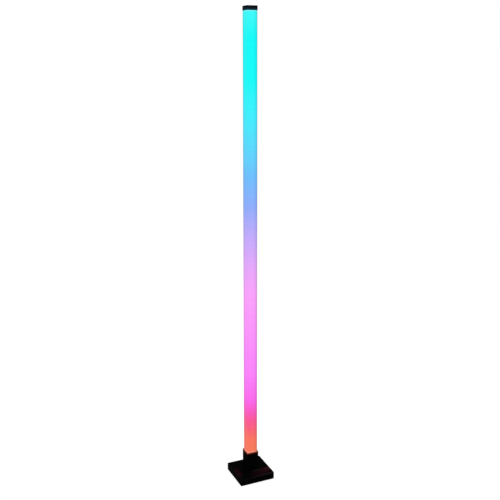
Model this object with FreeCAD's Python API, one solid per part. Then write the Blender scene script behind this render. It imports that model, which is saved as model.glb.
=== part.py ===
import FreeCAD
import Part

import math
import os

from FreeCAD import Vector

# Corner floor lamp, in millimetres.
#
# A slim square light column stands in a square socket (the collar) on a small weighted base.  The column is
# a corner extrusion: two aluminium walls and a slanted web that carries the light strip, closed on its two
# lit sides by an opal corner cover that snaps behind catch ribs.  A moulded cap closes the top.  The base is
# a moulded cover over a steel ballast, with the light's control board, its power inlet and its push button
# at the rear.
#
# Frame: +Z up, origin on the floor at the centre of the base.  The lit corner of the column points to -X -Y,
# and the rear of the lamp, with the inlet and the button, is +Y.

# ---------------------------------------------------------------- driving dimensions

# Whole lamp
LAMP_HEIGHT = 1400.0  # floor to the top of the cap
COLUMN_SIDE = 30.0  # outside of the square light column

# Aluminium channel
CHANNEL_WALL = 1.2
CHANNEL_CORNER_RADIUS = 1.0
WEB_THICKNESS = 1.4
WEB_DISTANCE = 5.6  # column axis to the lit face of the web, measured away from the lit corner
PORT_BORE = 3.5  # screw ports that run the whole length of the channel
PORT_WALL = 1.0
PORT_SINK = 0.4  # how deep each port's wall runs into the walls that it grows from
CATCH_DEPTH = 0.9  # catch rib that holds the diffuser
CATCH_THICKNESS = 1.0
CATCH_INSET = 4.0  # free end of the channel wall to the rib

# Opal diffuser
DIFFUSER_WALL = 1.6
DIFFUSER_CORNER_RADIUS = 2.0
DIFFUSER_INNER_RADIUS = 0.8
DIFFUSER_LEG = 1.2
DIFFUSER_EDGE_GAP = 0.1  # between the diffuser's edge and the channel wall beside it
SNAP_CLEARANCE = 0.1
BARB_LENGTH = 1.6

# Light strip on the web
STRIP_WIDTH = 10.0
STRIP_THICKNESS = 0.3
STRIP_START = 33.0  # above the top of the base
STRIP_TOP_MARGIN = 4.0
STRIP_SEGMENT = 50.0  # length of one cuttable segment
LEDS_PER_SEGMENT = 3
LED_SIDE = 5.0
LED_THICKNESS = 1.6
PIXEL_CHIP_LENGTH = 4.9
PIXEL_CHIP_WIDTH = 3.9
PIXEL_CHIP_THICKNESS = 1.4

# Top cap
CAP_HEIGHT = 12.3
CAP_TOP = 2.5
CAP_WALL = 0.7
CAP_CLEARANCE = 0.1
CAP_CORNER_RADIUS = 1.0
CAP_EDGE_CHAMFER = 0.4
PEG_LENGTH = 9.0
PEG_CLEARANCE = 0.05

# Collar, the socket that the column stands in
COLLAR_HEIGHT = 61.5  # above the top of the base
COLLAR_WALL = 3.3
COLLAR_FLOOR = 4.0
COLLAR_CORNER_RADIUS = 1.6
COLLAR_RIM_CHAMFER = 0.4
SOCKET_CLEARANCE = 0.2
TENON_LEDGE = 3.25  # collar's outside to its locating tenon
TENON_CLEARANCE = 0.15
TENON_GAP = 0.2  # tenon to the ballast below it

# Base
BASE_SIDE = 111.0
BASE_CORNER_RADIUS = 3.5
BASE_EDGE_CHAMFER = 1.0
COVER_THICKNESS = 3.0
PLATE_THICKNESS = 1.5
PLATE_CLEARANCE = 0.25
PAD_SIDE = 12.0
PAD_THICKNESS = 2.5
SKIRT_GAP = 0.7  # floor to the rim of the skirt, which hangs below the plate
BALLAST_CLEARANCE = 1.0
BALLAST_LIFT = 0.2  # plate to the ballast, which is clamped up against the cover
BOSS_INSET = 10.0  # base's side to the centre of a cover boss, its screw and the pad over the screw's head
BOSS_DIAMETER = 7.0
BOSS_CLEARANCE = 0.4

# Screws
PLATE_SCREW_DIAMETER = 3.0
PLATE_SCREW_HEAD = 6.0
PLATE_SCREW_LENGTH = 9.0
SCREW_CLEARANCE = 0.1  # round a screw in a plate or a board
SCREW_TIP_CLEARANCE = 1.0  # beyond a screw's tip, in its blind hole
COLUMN_SCREW_HEAD = 7.0
COLUMN_SCREW_HEAD_HEIGHT = 2.6
COLUMN_SCREW_GRIP = 7.0  # ballast thickness under a column screw's head
COLUMN_SCREW_ENGAGEMENT = 14.0
COLUMN_SCREW_CLEARANCE = 0.35  # round the shank, in ballast and collar
COUNTERBORE_CLEARANCE = 0.7
THREAD_CLEARANCE = 0.05
BOARD_SCREW_DIAMETER = 2.5
BOARD_SCREW_HEAD = 4.6
BOARD_SCREW_HEAD_HEIGHT = 1.4
BOARD_SCREW_LENGTH = 7.0

# Control board
BOARD_WIDTH = 54.0
BOARD_DEPTH = 24.0
BOARD_THICKNESS = 1.6
BOARD_LIFT = 2.5  # plate to the underside of the board
BOARD_REAR_GAP = 0.7
BOARD_BAY_CLEARANCE = 1.0
BOARD_HEADROOM = 0.4  # tallest part on the board to the cover
BOARD_BOSS_DIAMETER = 5.0
BOARD_BOSS_INSET_X = 4.0
BOARD_BOSS_INSET_Y = 4.2
RADIO_WIDTH = 18.0
RADIO_DEPTH = 14.0
RADIO_BOARD = 0.8
RADIO_CAN_HEIGHT = 2.2
RADIO_CAN_MARGIN = 1.2
RADIO_ANTENNA_DEPTH = 3.5
RADIO_X = -1.5
CAPACITOR_DIAMETER = 6.3
CAPACITOR_HEIGHT = 7.0
CAPACITOR_X = 11.0
REGULATOR_SIDE = 6.4
REGULATOR_HEIGHT = 2.8
REGULATOR_X = -12.0
FRONT_ROW_INSET = 3.8  # board's front edge to the middle of the row of parts along it

# Power inlet, a round low-voltage socket
INLET_X = 16.0
INLET_WIDTH = 9.0
INLET_HEIGHT = 10.0
INLET_DEPTH = 12.0
INLET_NOSE_DIAMETER = 7.8
INLET_NOSE_RECESS = 0.3  # base's rear face to the front of the nose
INLET_HOLE_CLEARANCE = 0.2
INLET_BORE = 5.7
INLET_BORE_DEPTH = 9.5
INLET_PIN_DIAMETER = 2.0
INLET_PIN_RECESS = 1.0

# Push button and its switch
BUTTON_X = -19.0
BUTTON_DIAMETER = 6.4
BUTTON_CLEARANCE = 0.08
BUTTON_STAND_OUT = 1.4
BUTTON_EDGE_CHAMFER = 0.4
BUTTON_FLANGE_DIAMETER = 8.4
BUTTON_FLANGE_THICKNESS = 0.9
BUTTON_FLANGE_GAP = 0.05
BUTTON_TRAVEL = 1.0
BUTTON_NOTCH_CLEARANCE = 0.6  # beside the flange, in the board
SWITCH_WIDTH = 7.0
SWITCH_HEIGHT = 8.0
SWITCH_DEPTH = 5.0
SWITCH_GAP = 0.5  # left between the flange and the switch when the button is fully in
PLUNGER_DIAMETER = 3.2
PLUNGER_CLEARANCE = 0.08
PLUNGER_ENTRY = 1.2
PLUNGER_END_GAP = 0.4

# Lead from the board to the light strip, and the clip that joins them
LEAD_WIDTH = 4.5  # a flat lead of three cores side by side
LEAD_THICKNESS = 1.6
LEAD_CLEARANCE = 0.05
LEAD_ELBOW_ALLOWANCE = 0.2  # straight run between the lead's elbow and the grommet
LEAD_SLOT_CLEARANCE = 0.75
CLIP_WIDTH = 13.0
CLIP_DEPTH = 9.0
CLIP_HEIGHT = 12.0
CLIP_GRIP = 5.0  # length of the strip inside the clip
CLIP_CLEARANCE = 0.1
CONNECTOR_WIDTH = 9.8
CONNECTOR_DEPTH = 5.0
CONNECTOR_HEIGHT = 6.0
CONNECTOR_EXIT = 2.6  # above the board
GROMMET_WALL = 1.3
GROMMET_CLEARANCE = 0.1
GROMMET_FLANGE = 1.0
GROMMET_FLANGE_THICKNESS = 1.0
GROMMET_WEB_GAP = 0.4

# ---------------------------------------------------------------- worked-out sizes and places

ROOT2 = math.sqrt(2.0)
COLUMN_HALF = COLUMN_SIDE / 2
BASE_HALF = BASE_SIDE / 2

REAR_AXIS_LIFT = INLET_HEIGHT / 2  # board to the axis of the inlet, and of the button beside it
TALLEST_ON_BOARD = max(
    INLET_HEIGHT,
    SWITCH_HEIGHT,
    CAPACITOR_HEIGHT,
    CONNECTOR_HEIGHT,
    REAR_AXIS_LIFT + BUTTON_FLANGE_DIAMETER / 2,
)
CAVITY_HEIGHT = BOARD_LIFT + BOARD_THICKNESS + TALLEST_ON_BOARD + BOARD_HEADROOM
RIM_Z = SKIRT_GAP
PLATE_BOTTOM_Z = PAD_THICKNESS
PLATE_TOP_Z = PLATE_BOTTOM_Z + PLATE_THICKNESS
CEILING_Z = PLATE_TOP_Z + CAVITY_HEIGHT
BASE_TOP_Z = CEILING_Z + COVER_THICKNESS
SKIRT_INNER_HALF = BASE_HALF - COVER_THICKNESS

COLLAR_SIDE = COLUMN_SIDE + 2 * (SOCKET_CLEARANCE + COLLAR_WALL)
COLLAR_TOP_Z = BASE_TOP_Z + COLLAR_HEIGHT
COLUMN_FOOT_Z = BASE_TOP_Z + COLLAR_FLOOR
TENON_SIDE = COLLAR_SIDE - 2 * TENON_LEDGE
TENON_BOTTOM_Z = CEILING_Z + TENON_GAP

CAP_SIDE = COLUMN_SIDE + 2 * (CAP_CLEARANCE + CAP_WALL)
COLUMN_TOP_Z = LAMP_HEIGHT - CAP_TOP

WEB_SUM = WEB_DISTANCE * ROOT2  # x + y on the lit face of the web
PORT_RADIUS = PORT_BORE / 2
PORT_BOSS_RADIUS = PORT_RADIUS + PORT_WALL
PORT_NEAR = COLUMN_HALF - CHANNEL_WALL - PORT_BOSS_RADIUS + PORT_SINK
PORT_FAR = WEB_SUM + ROOT2 * (WEB_THICKNESS + PORT_BOSS_RADIUS - PORT_SINK) - PORT_NEAR
PORT_CENTRES = ((PORT_NEAR, PORT_NEAR), (PORT_NEAR, PORT_FAR), (PORT_FAR, PORT_NEAR))
SCREWED_PORTS = PORT_CENTRES[:2]  # the lead passes under the third

BALLAST_HALF = SKIRT_INNER_HALF - BALLAST_CLEARANCE
BALLAST_BOTTOM_Z = PLATE_TOP_Z + BALLAST_LIFT
COLUMN_SCREW_SEAT_Z = CEILING_Z - COLUMN_SCREW_GRIP
COLUMN_SCREW_HOLE = PORT_BORE + 2 * COLUMN_SCREW_CLEARANCE
COUNTERBORE_RADIUS = COLUMN_SCREW_HEAD / 2 + COUNTERBORE_CLEARANCE
CORNERS = [(sx, sy) for sx in (-1, 1) for sy in (-1, 1)]
BOSS_OFFSET = BASE_HALF - BOSS_INSET
BOSS_CENTRES = [(sx * BOSS_OFFSET, sy * BOSS_OFFSET) for sx, sy in CORNERS]

BOARD_BOTTOM_Z = PLATE_TOP_Z + BOARD_LIFT
BOARD_TOP_Z = BOARD_BOTTOM_Z + BOARD_THICKNESS
BOARD_REAR_Y = SKIRT_INNER_HALF - BOARD_REAR_GAP
BOARD_FRONT_Y = BOARD_REAR_Y - BOARD_DEPTH
BOARD_BOSS_CENTRES = [
    (sx * (BOARD_WIDTH / 2 - BOARD_BOSS_INSET_X), BOARD_FRONT_Y + BOARD_BOSS_INSET_Y) for sx in (-1, 1)
]
FRONT_ROW_Y = BOARD_FRONT_Y + FRONT_ROW_INSET
REAR_AXIS_Z = BOARD_TOP_Z + REAR_AXIS_LIFT
GROMMET_BODY_MARGIN = LEAD_CLEARANCE + GROMMET_WALL  # lead's side to the outside of the grommet
GROMMET_FLANGE_MARGIN = GROMMET_BODY_MARGIN + GROMMET_FLANGE
LEAD_EXIT_Z = BOARD_TOP_Z + CONNECTOR_EXIT
LEAD_BEND = TENON_BOTTOM_Z - LEAD_ELBOW_ALLOWANCE - LEAD_EXIT_Z
LEAD_REACH = (LEAD_WIDTH + LEAD_THICKNESS) / 2 + 2 * GROMMET_FLANGE_MARGIN  # x + y, centre to flange corner
LEAD_X = (WEB_SUM - LEAD_REACH) / 2 - GROMMET_WEB_GAP / ROOT2
LEAD_Y = LEAD_X
STRIP_BOTTOM_Z = BASE_TOP_Z + STRIP_START
CLIP_TOP_Z = STRIP_BOTTOM_Z + CLIP_GRIP
CLIP_BOTTOM_Z = CLIP_TOP_Z - CLIP_HEIGHT
STRIP_TOP_Z = COLUMN_TOP_Z - STRIP_TOP_MARGIN
FLANGE_FRONT_Y = SKIRT_INNER_HALF - BUTTON_FLANGE_GAP
FLANGE_REAR_Y = FLANGE_FRONT_Y - BUTTON_FLANGE_THICKNESS
SWITCH_FRONT_Y = FLANGE_REAR_Y - BUTTON_TRAVEL - SWITCH_GAP

Z_AXIS = Vector(0, 0, 1)
REARWARD = Vector(0, 1, 0)
LIT_CORNER_TURN = 135.0  # turns +Y to face the lit corner


# ---------------------------------------------------------------- building blocks


def block(x_low, x_high, y_low, y_high, z_low, z_high):
    """A box between two corners."""
    return Part.makeBox(x_high - x_low, y_high - y_low, z_high - z_low, Vector(x_low, y_low, z_low))


def centred_block(x, y, width, depth, z_low, z_high):
    """A box of a width along X and a depth along Y, centred on a point."""
    return block(x - width / 2, x + width / 2, y - depth / 2, y + depth / 2, z_low, z_high)


def square_block(side, corner_radius, z_low, z_high):
    """A square prism on the Z axis with rounded upright corners."""
    solid = centred_block(0, 0, side, side, z_low, z_high)
    if corner_radius <= 0:
        return solid
    return solid.makeFillet(corner_radius, upright_edges(solid))


def upright_disc(x, y, diameter, z_low, z_high):
    """A cylinder that stands along Z."""
    return Part.makeCylinder(diameter / 2, z_high - z_low, Vector(x, y, z_low), Z_AXIS)


def rearward_disc(x, z, diameter, y_low, y_high):
    """A cylinder that lies along Y."""
    return Part.makeCylinder(diameter / 2, y_high - y_low, Vector(x, y_low, z), REARWARD)


def prism(outline, z_low, z_high):
    """The solid over an outline of (x, y) points."""
    points = [Vector(x, y, z_low) for x, y in outline]
    face = Part.Face(Part.makePolygon(points + points[:1]))
    return face.extrude(Vector(0, 0, z_high - z_low))


def upright_edges(solid):
    """The straight edges of a solid that run along Z."""
    straight = [e for e in solid.Edges if e.Curve.TypeId == "Part::GeomLine"]
    return [e for e in straight if abs(e.Curve.Direction.z) > 1 - 1e-9]


def upright_edge_at(solid, x, y):
    """The upright edge of a solid at a place seen from above."""
    return min(upright_edges(solid), key=lambda e: math.hypot(e.Vertexes[0].X - x, e.Vertexes[0].Y - y))


def outline_edges_at(solid, z):
    """The edges of a solid that lie in the level plane at a height."""
    return [e for e in solid.Edges if abs(e.BoundBox.ZMin - z) < 1e-6 and abs(e.BoundBox.ZMax - z) < 1e-6]


def rear_edges(solid, y):
    """The edges of a solid that lie in the upright plane across the lamp at a place along Y."""
    return [e for e in solid.Edges if abs(e.BoundBox.YMin - y) < 1e-6 and abs(e.BoundBox.YMax - y) < 1e-6]


def swapped(solid):
    """A solid mirrored about the column's diagonal, which swaps its X and Y."""
    return solid.mirror(Vector(0, 0, 0), Vector(1, -1, 0).normalize())


def on_web(solid, z):
    """Lays a solid drawn with +Y as outwards on the web's lit face, at a height."""
    placed = solid.copy()
    placed.rotate(Vector(0, 0, 0), Z_AXIS, LIT_CORNER_TURN)
    placed.translate(Vector(WEB_SUM / 2, WEB_SUM / 2, z))
    return placed


def turned(outline, x, y):
    """The solid of revolution about an upright axis, from an outline of (radius, z) points."""
    points = [Vector(x + radius, y, z) for radius, z in outline]
    face = Part.Face(Part.makePolygon(points + points[:1]))
    return face.revolve(Vector(x, y, 0), Z_AXIS, 360)


def one_solid(shape):
    """The single solid of a boolean result, with its split faces merged."""
    cleaned = shape.removeSplitter()
    return cleaned.Solids[0] if len(cleaned.Solids) == 1 else cleaned


# ---------------------------------------------------------------- light column


def make_channel():
    """Corner extrusion: two walls, a slanted web, three screw ports and two catch ribs."""
    half, wall = COLUMN_HALF, CHANNEL_WALL
    low, high = COLUMN_FOOT_Z, COLUMN_TOP_Z
    right_wall = block(half - wall, half, -half, half, low, high)
    rear_wall = block(-half, half, half - wall, half, low, high)
    middle = half - wall / 2
    back_sum = WEB_SUM + WEB_THICKNESS * ROOT2
    web = prism(
        [
            (middle, WEB_SUM - middle),
            (middle, back_sum - middle),
            (back_sum - middle, middle),
            (WEB_SUM - middle, middle),
        ],
        low,
        high,
    )
    rib_y = -half + CATCH_INSET
    rib = block(half - wall - CATCH_DEPTH, middle, rib_y, rib_y + CATCH_THICKNESS, low, high)
    corner = block(PORT_NEAR, middle, PORT_NEAR, middle, low, high)
    bosses = [upright_disc(x, y, 2 * PORT_BOSS_RADIUS, low, high) for x, y in PORT_CENTRES]
    body = one_solid(right_wall.fuse([rear_wall, web, rib, swapped(rib), corner] + bosses))
    body = body.makeFillet(CHANNEL_CORNER_RADIUS, [upright_edge_at(body, half, half)])
    for x, y in PORT_CENTRES:
        body = body.cut(upright_disc(x, y, PORT_BORE, low, high))
    return one_solid(body)


def make_diffuser():
    """Opal corner cover: two lit panels whose legs snap behind the channel's catch ribs."""
    half = COLUMN_HALF
    edge = half - CHANNEL_WALL - DIFFUSER_EDGE_GAP
    inner_face = -half + DIFFUSER_WALL
    leg_out = half - CHANNEL_WALL - CATCH_DEPTH - SNAP_CLEARANCE
    leg_in = leg_out - DIFFUSER_LEG
    barb_y = -half + CATCH_INSET + CATCH_THICKNESS + SNAP_CLEARANCE
    barb_tip = leg_out + CATCH_DEPTH - SNAP_CLEARANCE
    leg_end = barb_y + BARB_LENGTH
    panel = prism(
        [
            (-half, -half),
            (edge, -half),
            (edge, inner_face),
            (leg_out, inner_face),
            (leg_out, barb_y),
            (barb_tip, barb_y),
            (leg_out, leg_end),
            (leg_in, leg_end),
            (leg_in, inner_face),
            (-half, inner_face),
        ],
        COLUMN_FOOT_Z,
        COLUMN_TOP_Z,
    )
    cover = one_solid(panel.fuse(swapped(panel)))
    cover = cover.makeFillet(DIFFUSER_CORNER_RADIUS, [upright_edge_at(cover, -half, -half)])
    return cover.makeFillet(DIFFUSER_INNER_RADIUS, [upright_edge_at(cover, inner_face, inner_face)])


def led_heights():
    """The heights of the LEDs' centres, evenly spaced along the strip."""
    pitch = STRIP_SEGMENT / LEDS_PER_SEGMENT
    count = int((STRIP_TOP_Z - STRIP_BOTTOM_Z) / pitch)
    return [STRIP_BOTTOM_Z + (n + 0.5) * pitch for n in range(count)]


def make_led_strip():
    """Flexible circuit stuck to the web's lit face."""
    length = STRIP_TOP_Z - STRIP_BOTTOM_Z
    tape = centred_block(0, STRIP_THICKNESS / 2, STRIP_WIDTH, STRIP_THICKNESS, 0, length)
    return on_web(tape, STRIP_BOTTOM_Z)


def make_leds():
    """The row of square LED packages on the strip."""
    middle = STRIP_THICKNESS + LED_THICKNESS / 2
    package = centred_block(0, middle, LED_SIDE, LED_THICKNESS, -LED_SIDE / 2, LED_SIDE / 2)
    return Part.makeCompound([on_web(package, z) for z in led_heights()])


def make_pixel_chips():
    """One driver chip for each cuttable segment of the strip, between its first two LEDs."""
    middle = STRIP_THICKNESS + PIXEL_CHIP_THICKNESS / 2
    half_length = PIXEL_CHIP_LENGTH / 2
    chip = centred_block(0, middle, PIXEL_CHIP_WIDTH, PIXEL_CHIP_THICKNESS, -half_length, half_length)
    heights = led_heights()
    firsts = range(0, len(heights) - 1, LEDS_PER_SEGMENT)
    return Part.makeCompound([on_web(chip, (heights[n] + heights[n + 1]) / 2) for n in firsts])


def make_top_cap():
    """Moulded cap: a skirt round the column, and a peg for each screw port."""
    skirt_z = LAMP_HEIGHT - CAP_HEIGHT
    cap = square_block(CAP_SIDE, CAP_CORNER_RADIUS, skirt_z, LAMP_HEIGHT)
    cap = cap.makeChamfer(CAP_EDGE_CHAMFER, outline_edges_at(cap, LAMP_HEIGHT))
    cap = cap.cut(square_block(COLUMN_SIDE + 2 * CAP_CLEARANCE, 0, skirt_z, COLUMN_TOP_Z))
    diameter = PORT_BORE - 2 * PEG_CLEARANCE
    root_z = COLUMN_TOP_Z + CAP_TOP / 2
    pegs = [upright_disc(x, y, diameter, COLUMN_TOP_Z - PEG_LENGTH, root_z) for x, y in PORT_CENTRES]
    return one_solid(cap.fuse(pegs))


# ---------------------------------------------------------------- collar


def block_about_lead(margin, z_low, z_high):
    """A block about the rising lead, wider than it by a margin on every side."""
    width, depth = LEAD_WIDTH + 2 * margin, LEAD_THICKNESS + 2 * margin
    return centred_block(LEAD_X, LEAD_Y, width, depth, z_low, z_high)


def make_collar():
    """Square socket with a floor, screw holes and a locating tenon below."""
    body = square_block(COLLAR_SIDE, COLLAR_CORNER_RADIUS, BASE_TOP_Z, COLLAR_TOP_Z)
    body = body.makeChamfer(COLLAR_RIM_CHAMFER, outline_edges_at(body, COLLAR_TOP_Z))
    body = body.fuse(square_block(TENON_SIDE, COLLAR_CORNER_RADIUS, TENON_BOTTOM_Z, COLUMN_FOOT_Z))
    body = body.cut(square_block(COLUMN_SIDE + 2 * SOCKET_CLEARANCE, 0, COLUMN_FOOT_Z, COLLAR_TOP_Z))
    for x, y in SCREWED_PORTS:
        body = body.cut(upright_disc(x, y, COLUMN_SCREW_HOLE, TENON_BOTTOM_Z, COLUMN_FOOT_Z))
    lead_hole = block_about_lead(GROMMET_BODY_MARGIN + GROMMET_CLEARANCE, TENON_BOTTOM_Z, COLUMN_FOOT_Z)
    return one_solid(body.cut(lead_hole))


def make_column_screws():
    """Two cap screws from below, through ballast and collar into the channel's ports."""
    shank = PORT_RADIUS - THREAD_CLEARANCE
    head = COLUMN_SCREW_HEAD / 2
    seat = COLUMN_SCREW_SEAT_Z
    under = seat - COLUMN_SCREW_HEAD_HEIGHT
    tip = COLUMN_FOOT_Z + COLUMN_SCREW_ENGAGEMENT
    outline = [(0, under), (head, under), (head, seat), (shank, seat), (shank, tip), (0, tip)]
    return Part.makeCompound([turned(outline, x, y) for x, y in SCREWED_PORTS])


def make_lead_grommet():
    """Oblong rubber bush that lines the lead's hole in the collar's floor, with a flange on top."""
    flange_top = COLUMN_FOOT_Z + GROMMET_FLANGE_THICKNESS
    bush = block_about_lead(GROMMET_BODY_MARGIN, TENON_BOTTOM_Z, COLUMN_FOOT_Z)
    bush = bush.fuse(block_about_lead(GROMMET_FLANGE_MARGIN, COLUMN_FOOT_Z, flange_top))
    return one_solid(bush.cut(block_about_lead(LEAD_CLEARANCE, TENON_BOTTOM_Z, flange_top)))


# ---------------------------------------------------------------- base


def make_base_cover():
    """Moulded cover: top, skirt, corner bosses, board bosses and the openings at the rear."""
    cover = square_block(BASE_SIDE, BASE_CORNER_RADIUS, RIM_Z, BASE_TOP_Z)
    cover = cover.makeChamfer(BASE_EDGE_CHAMFER, outline_edges_at(cover, BASE_TOP_Z))
    inner_radius = BASE_CORNER_RADIUS - COVER_THICKNESS
    cover = cover.cut(square_block(2 * SKIRT_INNER_HALF, inner_radius, RIM_Z, CEILING_Z))
    bosses = [upright_disc(x, y, BOSS_DIAMETER, PLATE_TOP_Z, CEILING_Z) for x, y in BOSS_CENTRES]
    for x, y in BOARD_BOSS_CENTRES:
        bosses.append(upright_disc(x, y, BOARD_BOSS_DIAMETER, BOARD_TOP_Z, CEILING_Z))
    cover = one_solid(cover.fuse(bosses))
    tenon_hole = TENON_SIDE + 2 * TENON_CLEARANCE
    cover = cover.cut(square_block(tenon_hole, COLLAR_CORNER_RADIUS, CEILING_Z, BASE_TOP_Z))
    plate_screw_hole = PLATE_SCREW_DIAMETER + 2 * THREAD_CLEARANCE
    for x, y in BOSS_CENTRES:
        hole_top = PLATE_BOTTOM_Z + PLATE_SCREW_LENGTH + SCREW_TIP_CLEARANCE
        cover = cover.cut(upright_disc(x, y, plate_screw_hole, PLATE_TOP_Z, hole_top))
    board_screw_hole = BOARD_SCREW_DIAMETER + 2 * THREAD_CLEARANCE
    for x, y in BOARD_BOSS_CENTRES:
        hole_top = BOARD_BOTTOM_Z + BOARD_SCREW_LENGTH + SCREW_TIP_CLEARANCE
        cover = cover.cut(upright_disc(x, y, board_screw_hole, BOARD_TOP_Z, hole_top))
    inlet_hole = INLET_NOSE_DIAMETER + 2 * INLET_HOLE_CLEARANCE
    button_hole = BUTTON_DIAMETER + 2 * BUTTON_CLEARANCE
    cover = cover.cut(rearward_disc(INLET_X, REAR_AXIS_Z, inlet_hole, SKIRT_INNER_HALF, BASE_HALF))
    cover = cover.cut(rearward_disc(BUTTON_X, REAR_AXIS_Z, button_hole, SKIRT_INNER_HALF, BASE_HALF))
    return one_solid(cover)


def make_ballast():
    """Steel weight with a bay for the board, a slot for the lead, notched corners and counterbores."""
    low, high = BALLAST_BOTTOM_Z, CEILING_Z
    weight = square_block(2 * BALLAST_HALF, 0, low, high)
    bay_half = BOARD_WIDTH / 2 + BOARD_BAY_CLEARANCE
    bay_front = BOARD_FRONT_Y - BOARD_BAY_CLEARANCE
    weight = weight.cut(block(-bay_half, bay_half, bay_front, BASE_HALF, low, high))
    slot_half = LEAD_WIDTH / 2 + LEAD_SLOT_CLEARANCE
    slot_end = LEAD_Y - LEAD_THICKNESS / 2 - LEAD_SLOT_CLEARANCE
    weight = weight.cut(block(LEAD_X - slot_half, LEAD_X + slot_half, slot_end, bay_front, low, high))
    notch_depth = BALLAST_HALF - BOSS_OFFSET + BOSS_DIAMETER / 2 + BOSS_CLEARANCE
    notch_offset = BALLAST_HALF - notch_depth / 2
    for sx, sy in CORNERS:
        notch_x, notch_y = sx * notch_offset, sy * notch_offset
        weight = weight.cut(centred_block(notch_x, notch_y, notch_depth, notch_depth, low, high))
    for x, y in SCREWED_PORTS:
        weight = weight.cut(upright_disc(x, y, 2 * COUNTERBORE_RADIUS, low, COLUMN_SCREW_SEAT_Z))
        weight = weight.cut(upright_disc(x, y, COLUMN_SCREW_HOLE, COLUMN_SCREW_SEAT_Z, high))
    return one_solid(weight)


def plate_screw_outline(clearance):
    """Half section of a countersunk plate screw, or of its hole with a clearance all round."""
    head = PLATE_SCREW_HEAD / 2 + clearance
    shank = PLATE_SCREW_DIAMETER / 2 + clearance
    low, tip = PLATE_BOTTOM_Z, PLATE_BOTTOM_Z + PLATE_SCREW_LENGTH
    return [(0, low), (head, low), (shank, low + head - shank), (shank, tip), (0, tip)]


def make_bottom_plate():
    """Sheet-steel plate that closes the base inside the skirt, with four countersunk holes."""
    side = 2 * (SKIRT_INNER_HALF - PLATE_CLEARANCE)
    plate = square_block(side, BASE_CORNER_RADIUS - COVER_THICKNESS, PLATE_BOTTOM_Z, PLATE_TOP_Z)
    for x, y in BOSS_CENTRES:
        plate = plate.cut(turned(plate_screw_outline(SCREW_CLEARANCE), x, y))
    return one_solid(plate)


def make_plate_screws():
    """Four countersunk screws that hold the bottom plate to the cover's bosses."""
    return Part.makeCompound([turned(plate_screw_outline(0), x, y) for x, y in BOSS_CENTRES])


def make_foot_pads():
    """Four square rubber pads, stuck under the plate's corners over the screws' heads."""
    return Part.makeCompound(
        [centred_block(x, y, PAD_SIDE, PAD_SIDE, 0, PAD_THICKNESS) for x, y in BOSS_CENTRES]
    )


# ---------------------------------------------------------------- control board


def make_control_board():
    """Circuit board, hung from two bosses of the cover, with a notch that the button moves in."""
    middle_y = (BOARD_REAR_Y + BOARD_FRONT_Y) / 2
    board = centred_block(0, middle_y, BOARD_WIDTH, BOARD_DEPTH, BOARD_BOTTOM_Z, BOARD_TOP_Z)
    notch_half = BUTTON_FLANGE_DIAMETER / 2 + BUTTON_NOTCH_CLEARANCE
    notch_sides = (BUTTON_X - notch_half, BUTTON_X + notch_half)
    board = board.cut(block(*notch_sides, SWITCH_FRONT_Y, BOARD_REAR_Y, BOARD_BOTTOM_Z, BOARD_TOP_Z))
    hole = BOARD_SCREW_DIAMETER + 2 * SCREW_CLEARANCE
    for x, y in BOARD_BOSS_CENTRES:
        board = board.cut(upright_disc(x, y, hole, BOARD_BOTTOM_Z, BOARD_TOP_Z))
    return board


def make_board_screws():
    """Two small screws that hold the board up to its bosses."""
    head, shank = BOARD_SCREW_HEAD / 2, BOARD_SCREW_DIAMETER / 2
    seat, tip = BOARD_BOTTOM_Z, BOARD_BOTTOM_Z + BOARD_SCREW_LENGTH
    under = seat - BOARD_SCREW_HEAD_HEIGHT
    outline = [(0, under), (head, under), (head, seat), (shank, seat), (shank, tip), (0, tip)]
    return Part.makeCompound([turned(outline, x, y) for x, y in BOARD_BOSS_CENTRES])


def make_radio_module():
    """Wireless module: a small board under a metal can, its antenna end left bare."""
    middle_y = BOARD_REAR_Y - RADIO_DEPTH / 2 - RADIO_CAN_MARGIN
    low, high = BOARD_TOP_Z, BOARD_TOP_Z + RADIO_BOARD
    board = centred_block(RADIO_X, middle_y, RADIO_WIDTH, RADIO_DEPTH, low, high)
    can_depth = RADIO_DEPTH - RADIO_ANTENNA_DEPTH - RADIO_CAN_MARGIN
    can_y = middle_y - RADIO_DEPTH / 2 + RADIO_CAN_MARGIN + can_depth / 2
    can_width = RADIO_WIDTH - 2 * RADIO_CAN_MARGIN
    can = centred_block(RADIO_X, can_y, can_width, can_depth, high, high + RADIO_CAN_HEIGHT)
    return one_solid(board.fuse(can))


def make_filter_capacitor():
    """Round electrolytic capacitor that stands on the board."""
    top = BOARD_TOP_Z + CAPACITOR_HEIGHT
    return upright_disc(CAPACITOR_X, FRONT_ROW_Y, CAPACITOR_DIAMETER, BOARD_TOP_Z, top)


def make_voltage_regulator():
    """Square moulded regulator on the board."""
    side, top = REGULATOR_SIDE, BOARD_TOP_Z + REGULATOR_HEIGHT
    return centred_block(REGULATOR_X, FRONT_ROW_Y, side, side, BOARD_TOP_Z, top)


def make_lead_connector():
    """Plug housing where the strip's lead joins the board."""
    low, high = BOARD_FRONT_Y, BOARD_FRONT_Y + CONNECTOR_DEPTH
    half = CONNECTOR_WIDTH / 2
    return block(LEAD_X - half, LEAD_X + half, low, high, BOARD_TOP_Z, BOARD_TOP_Z + CONNECTOR_HEIGHT)


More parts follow.
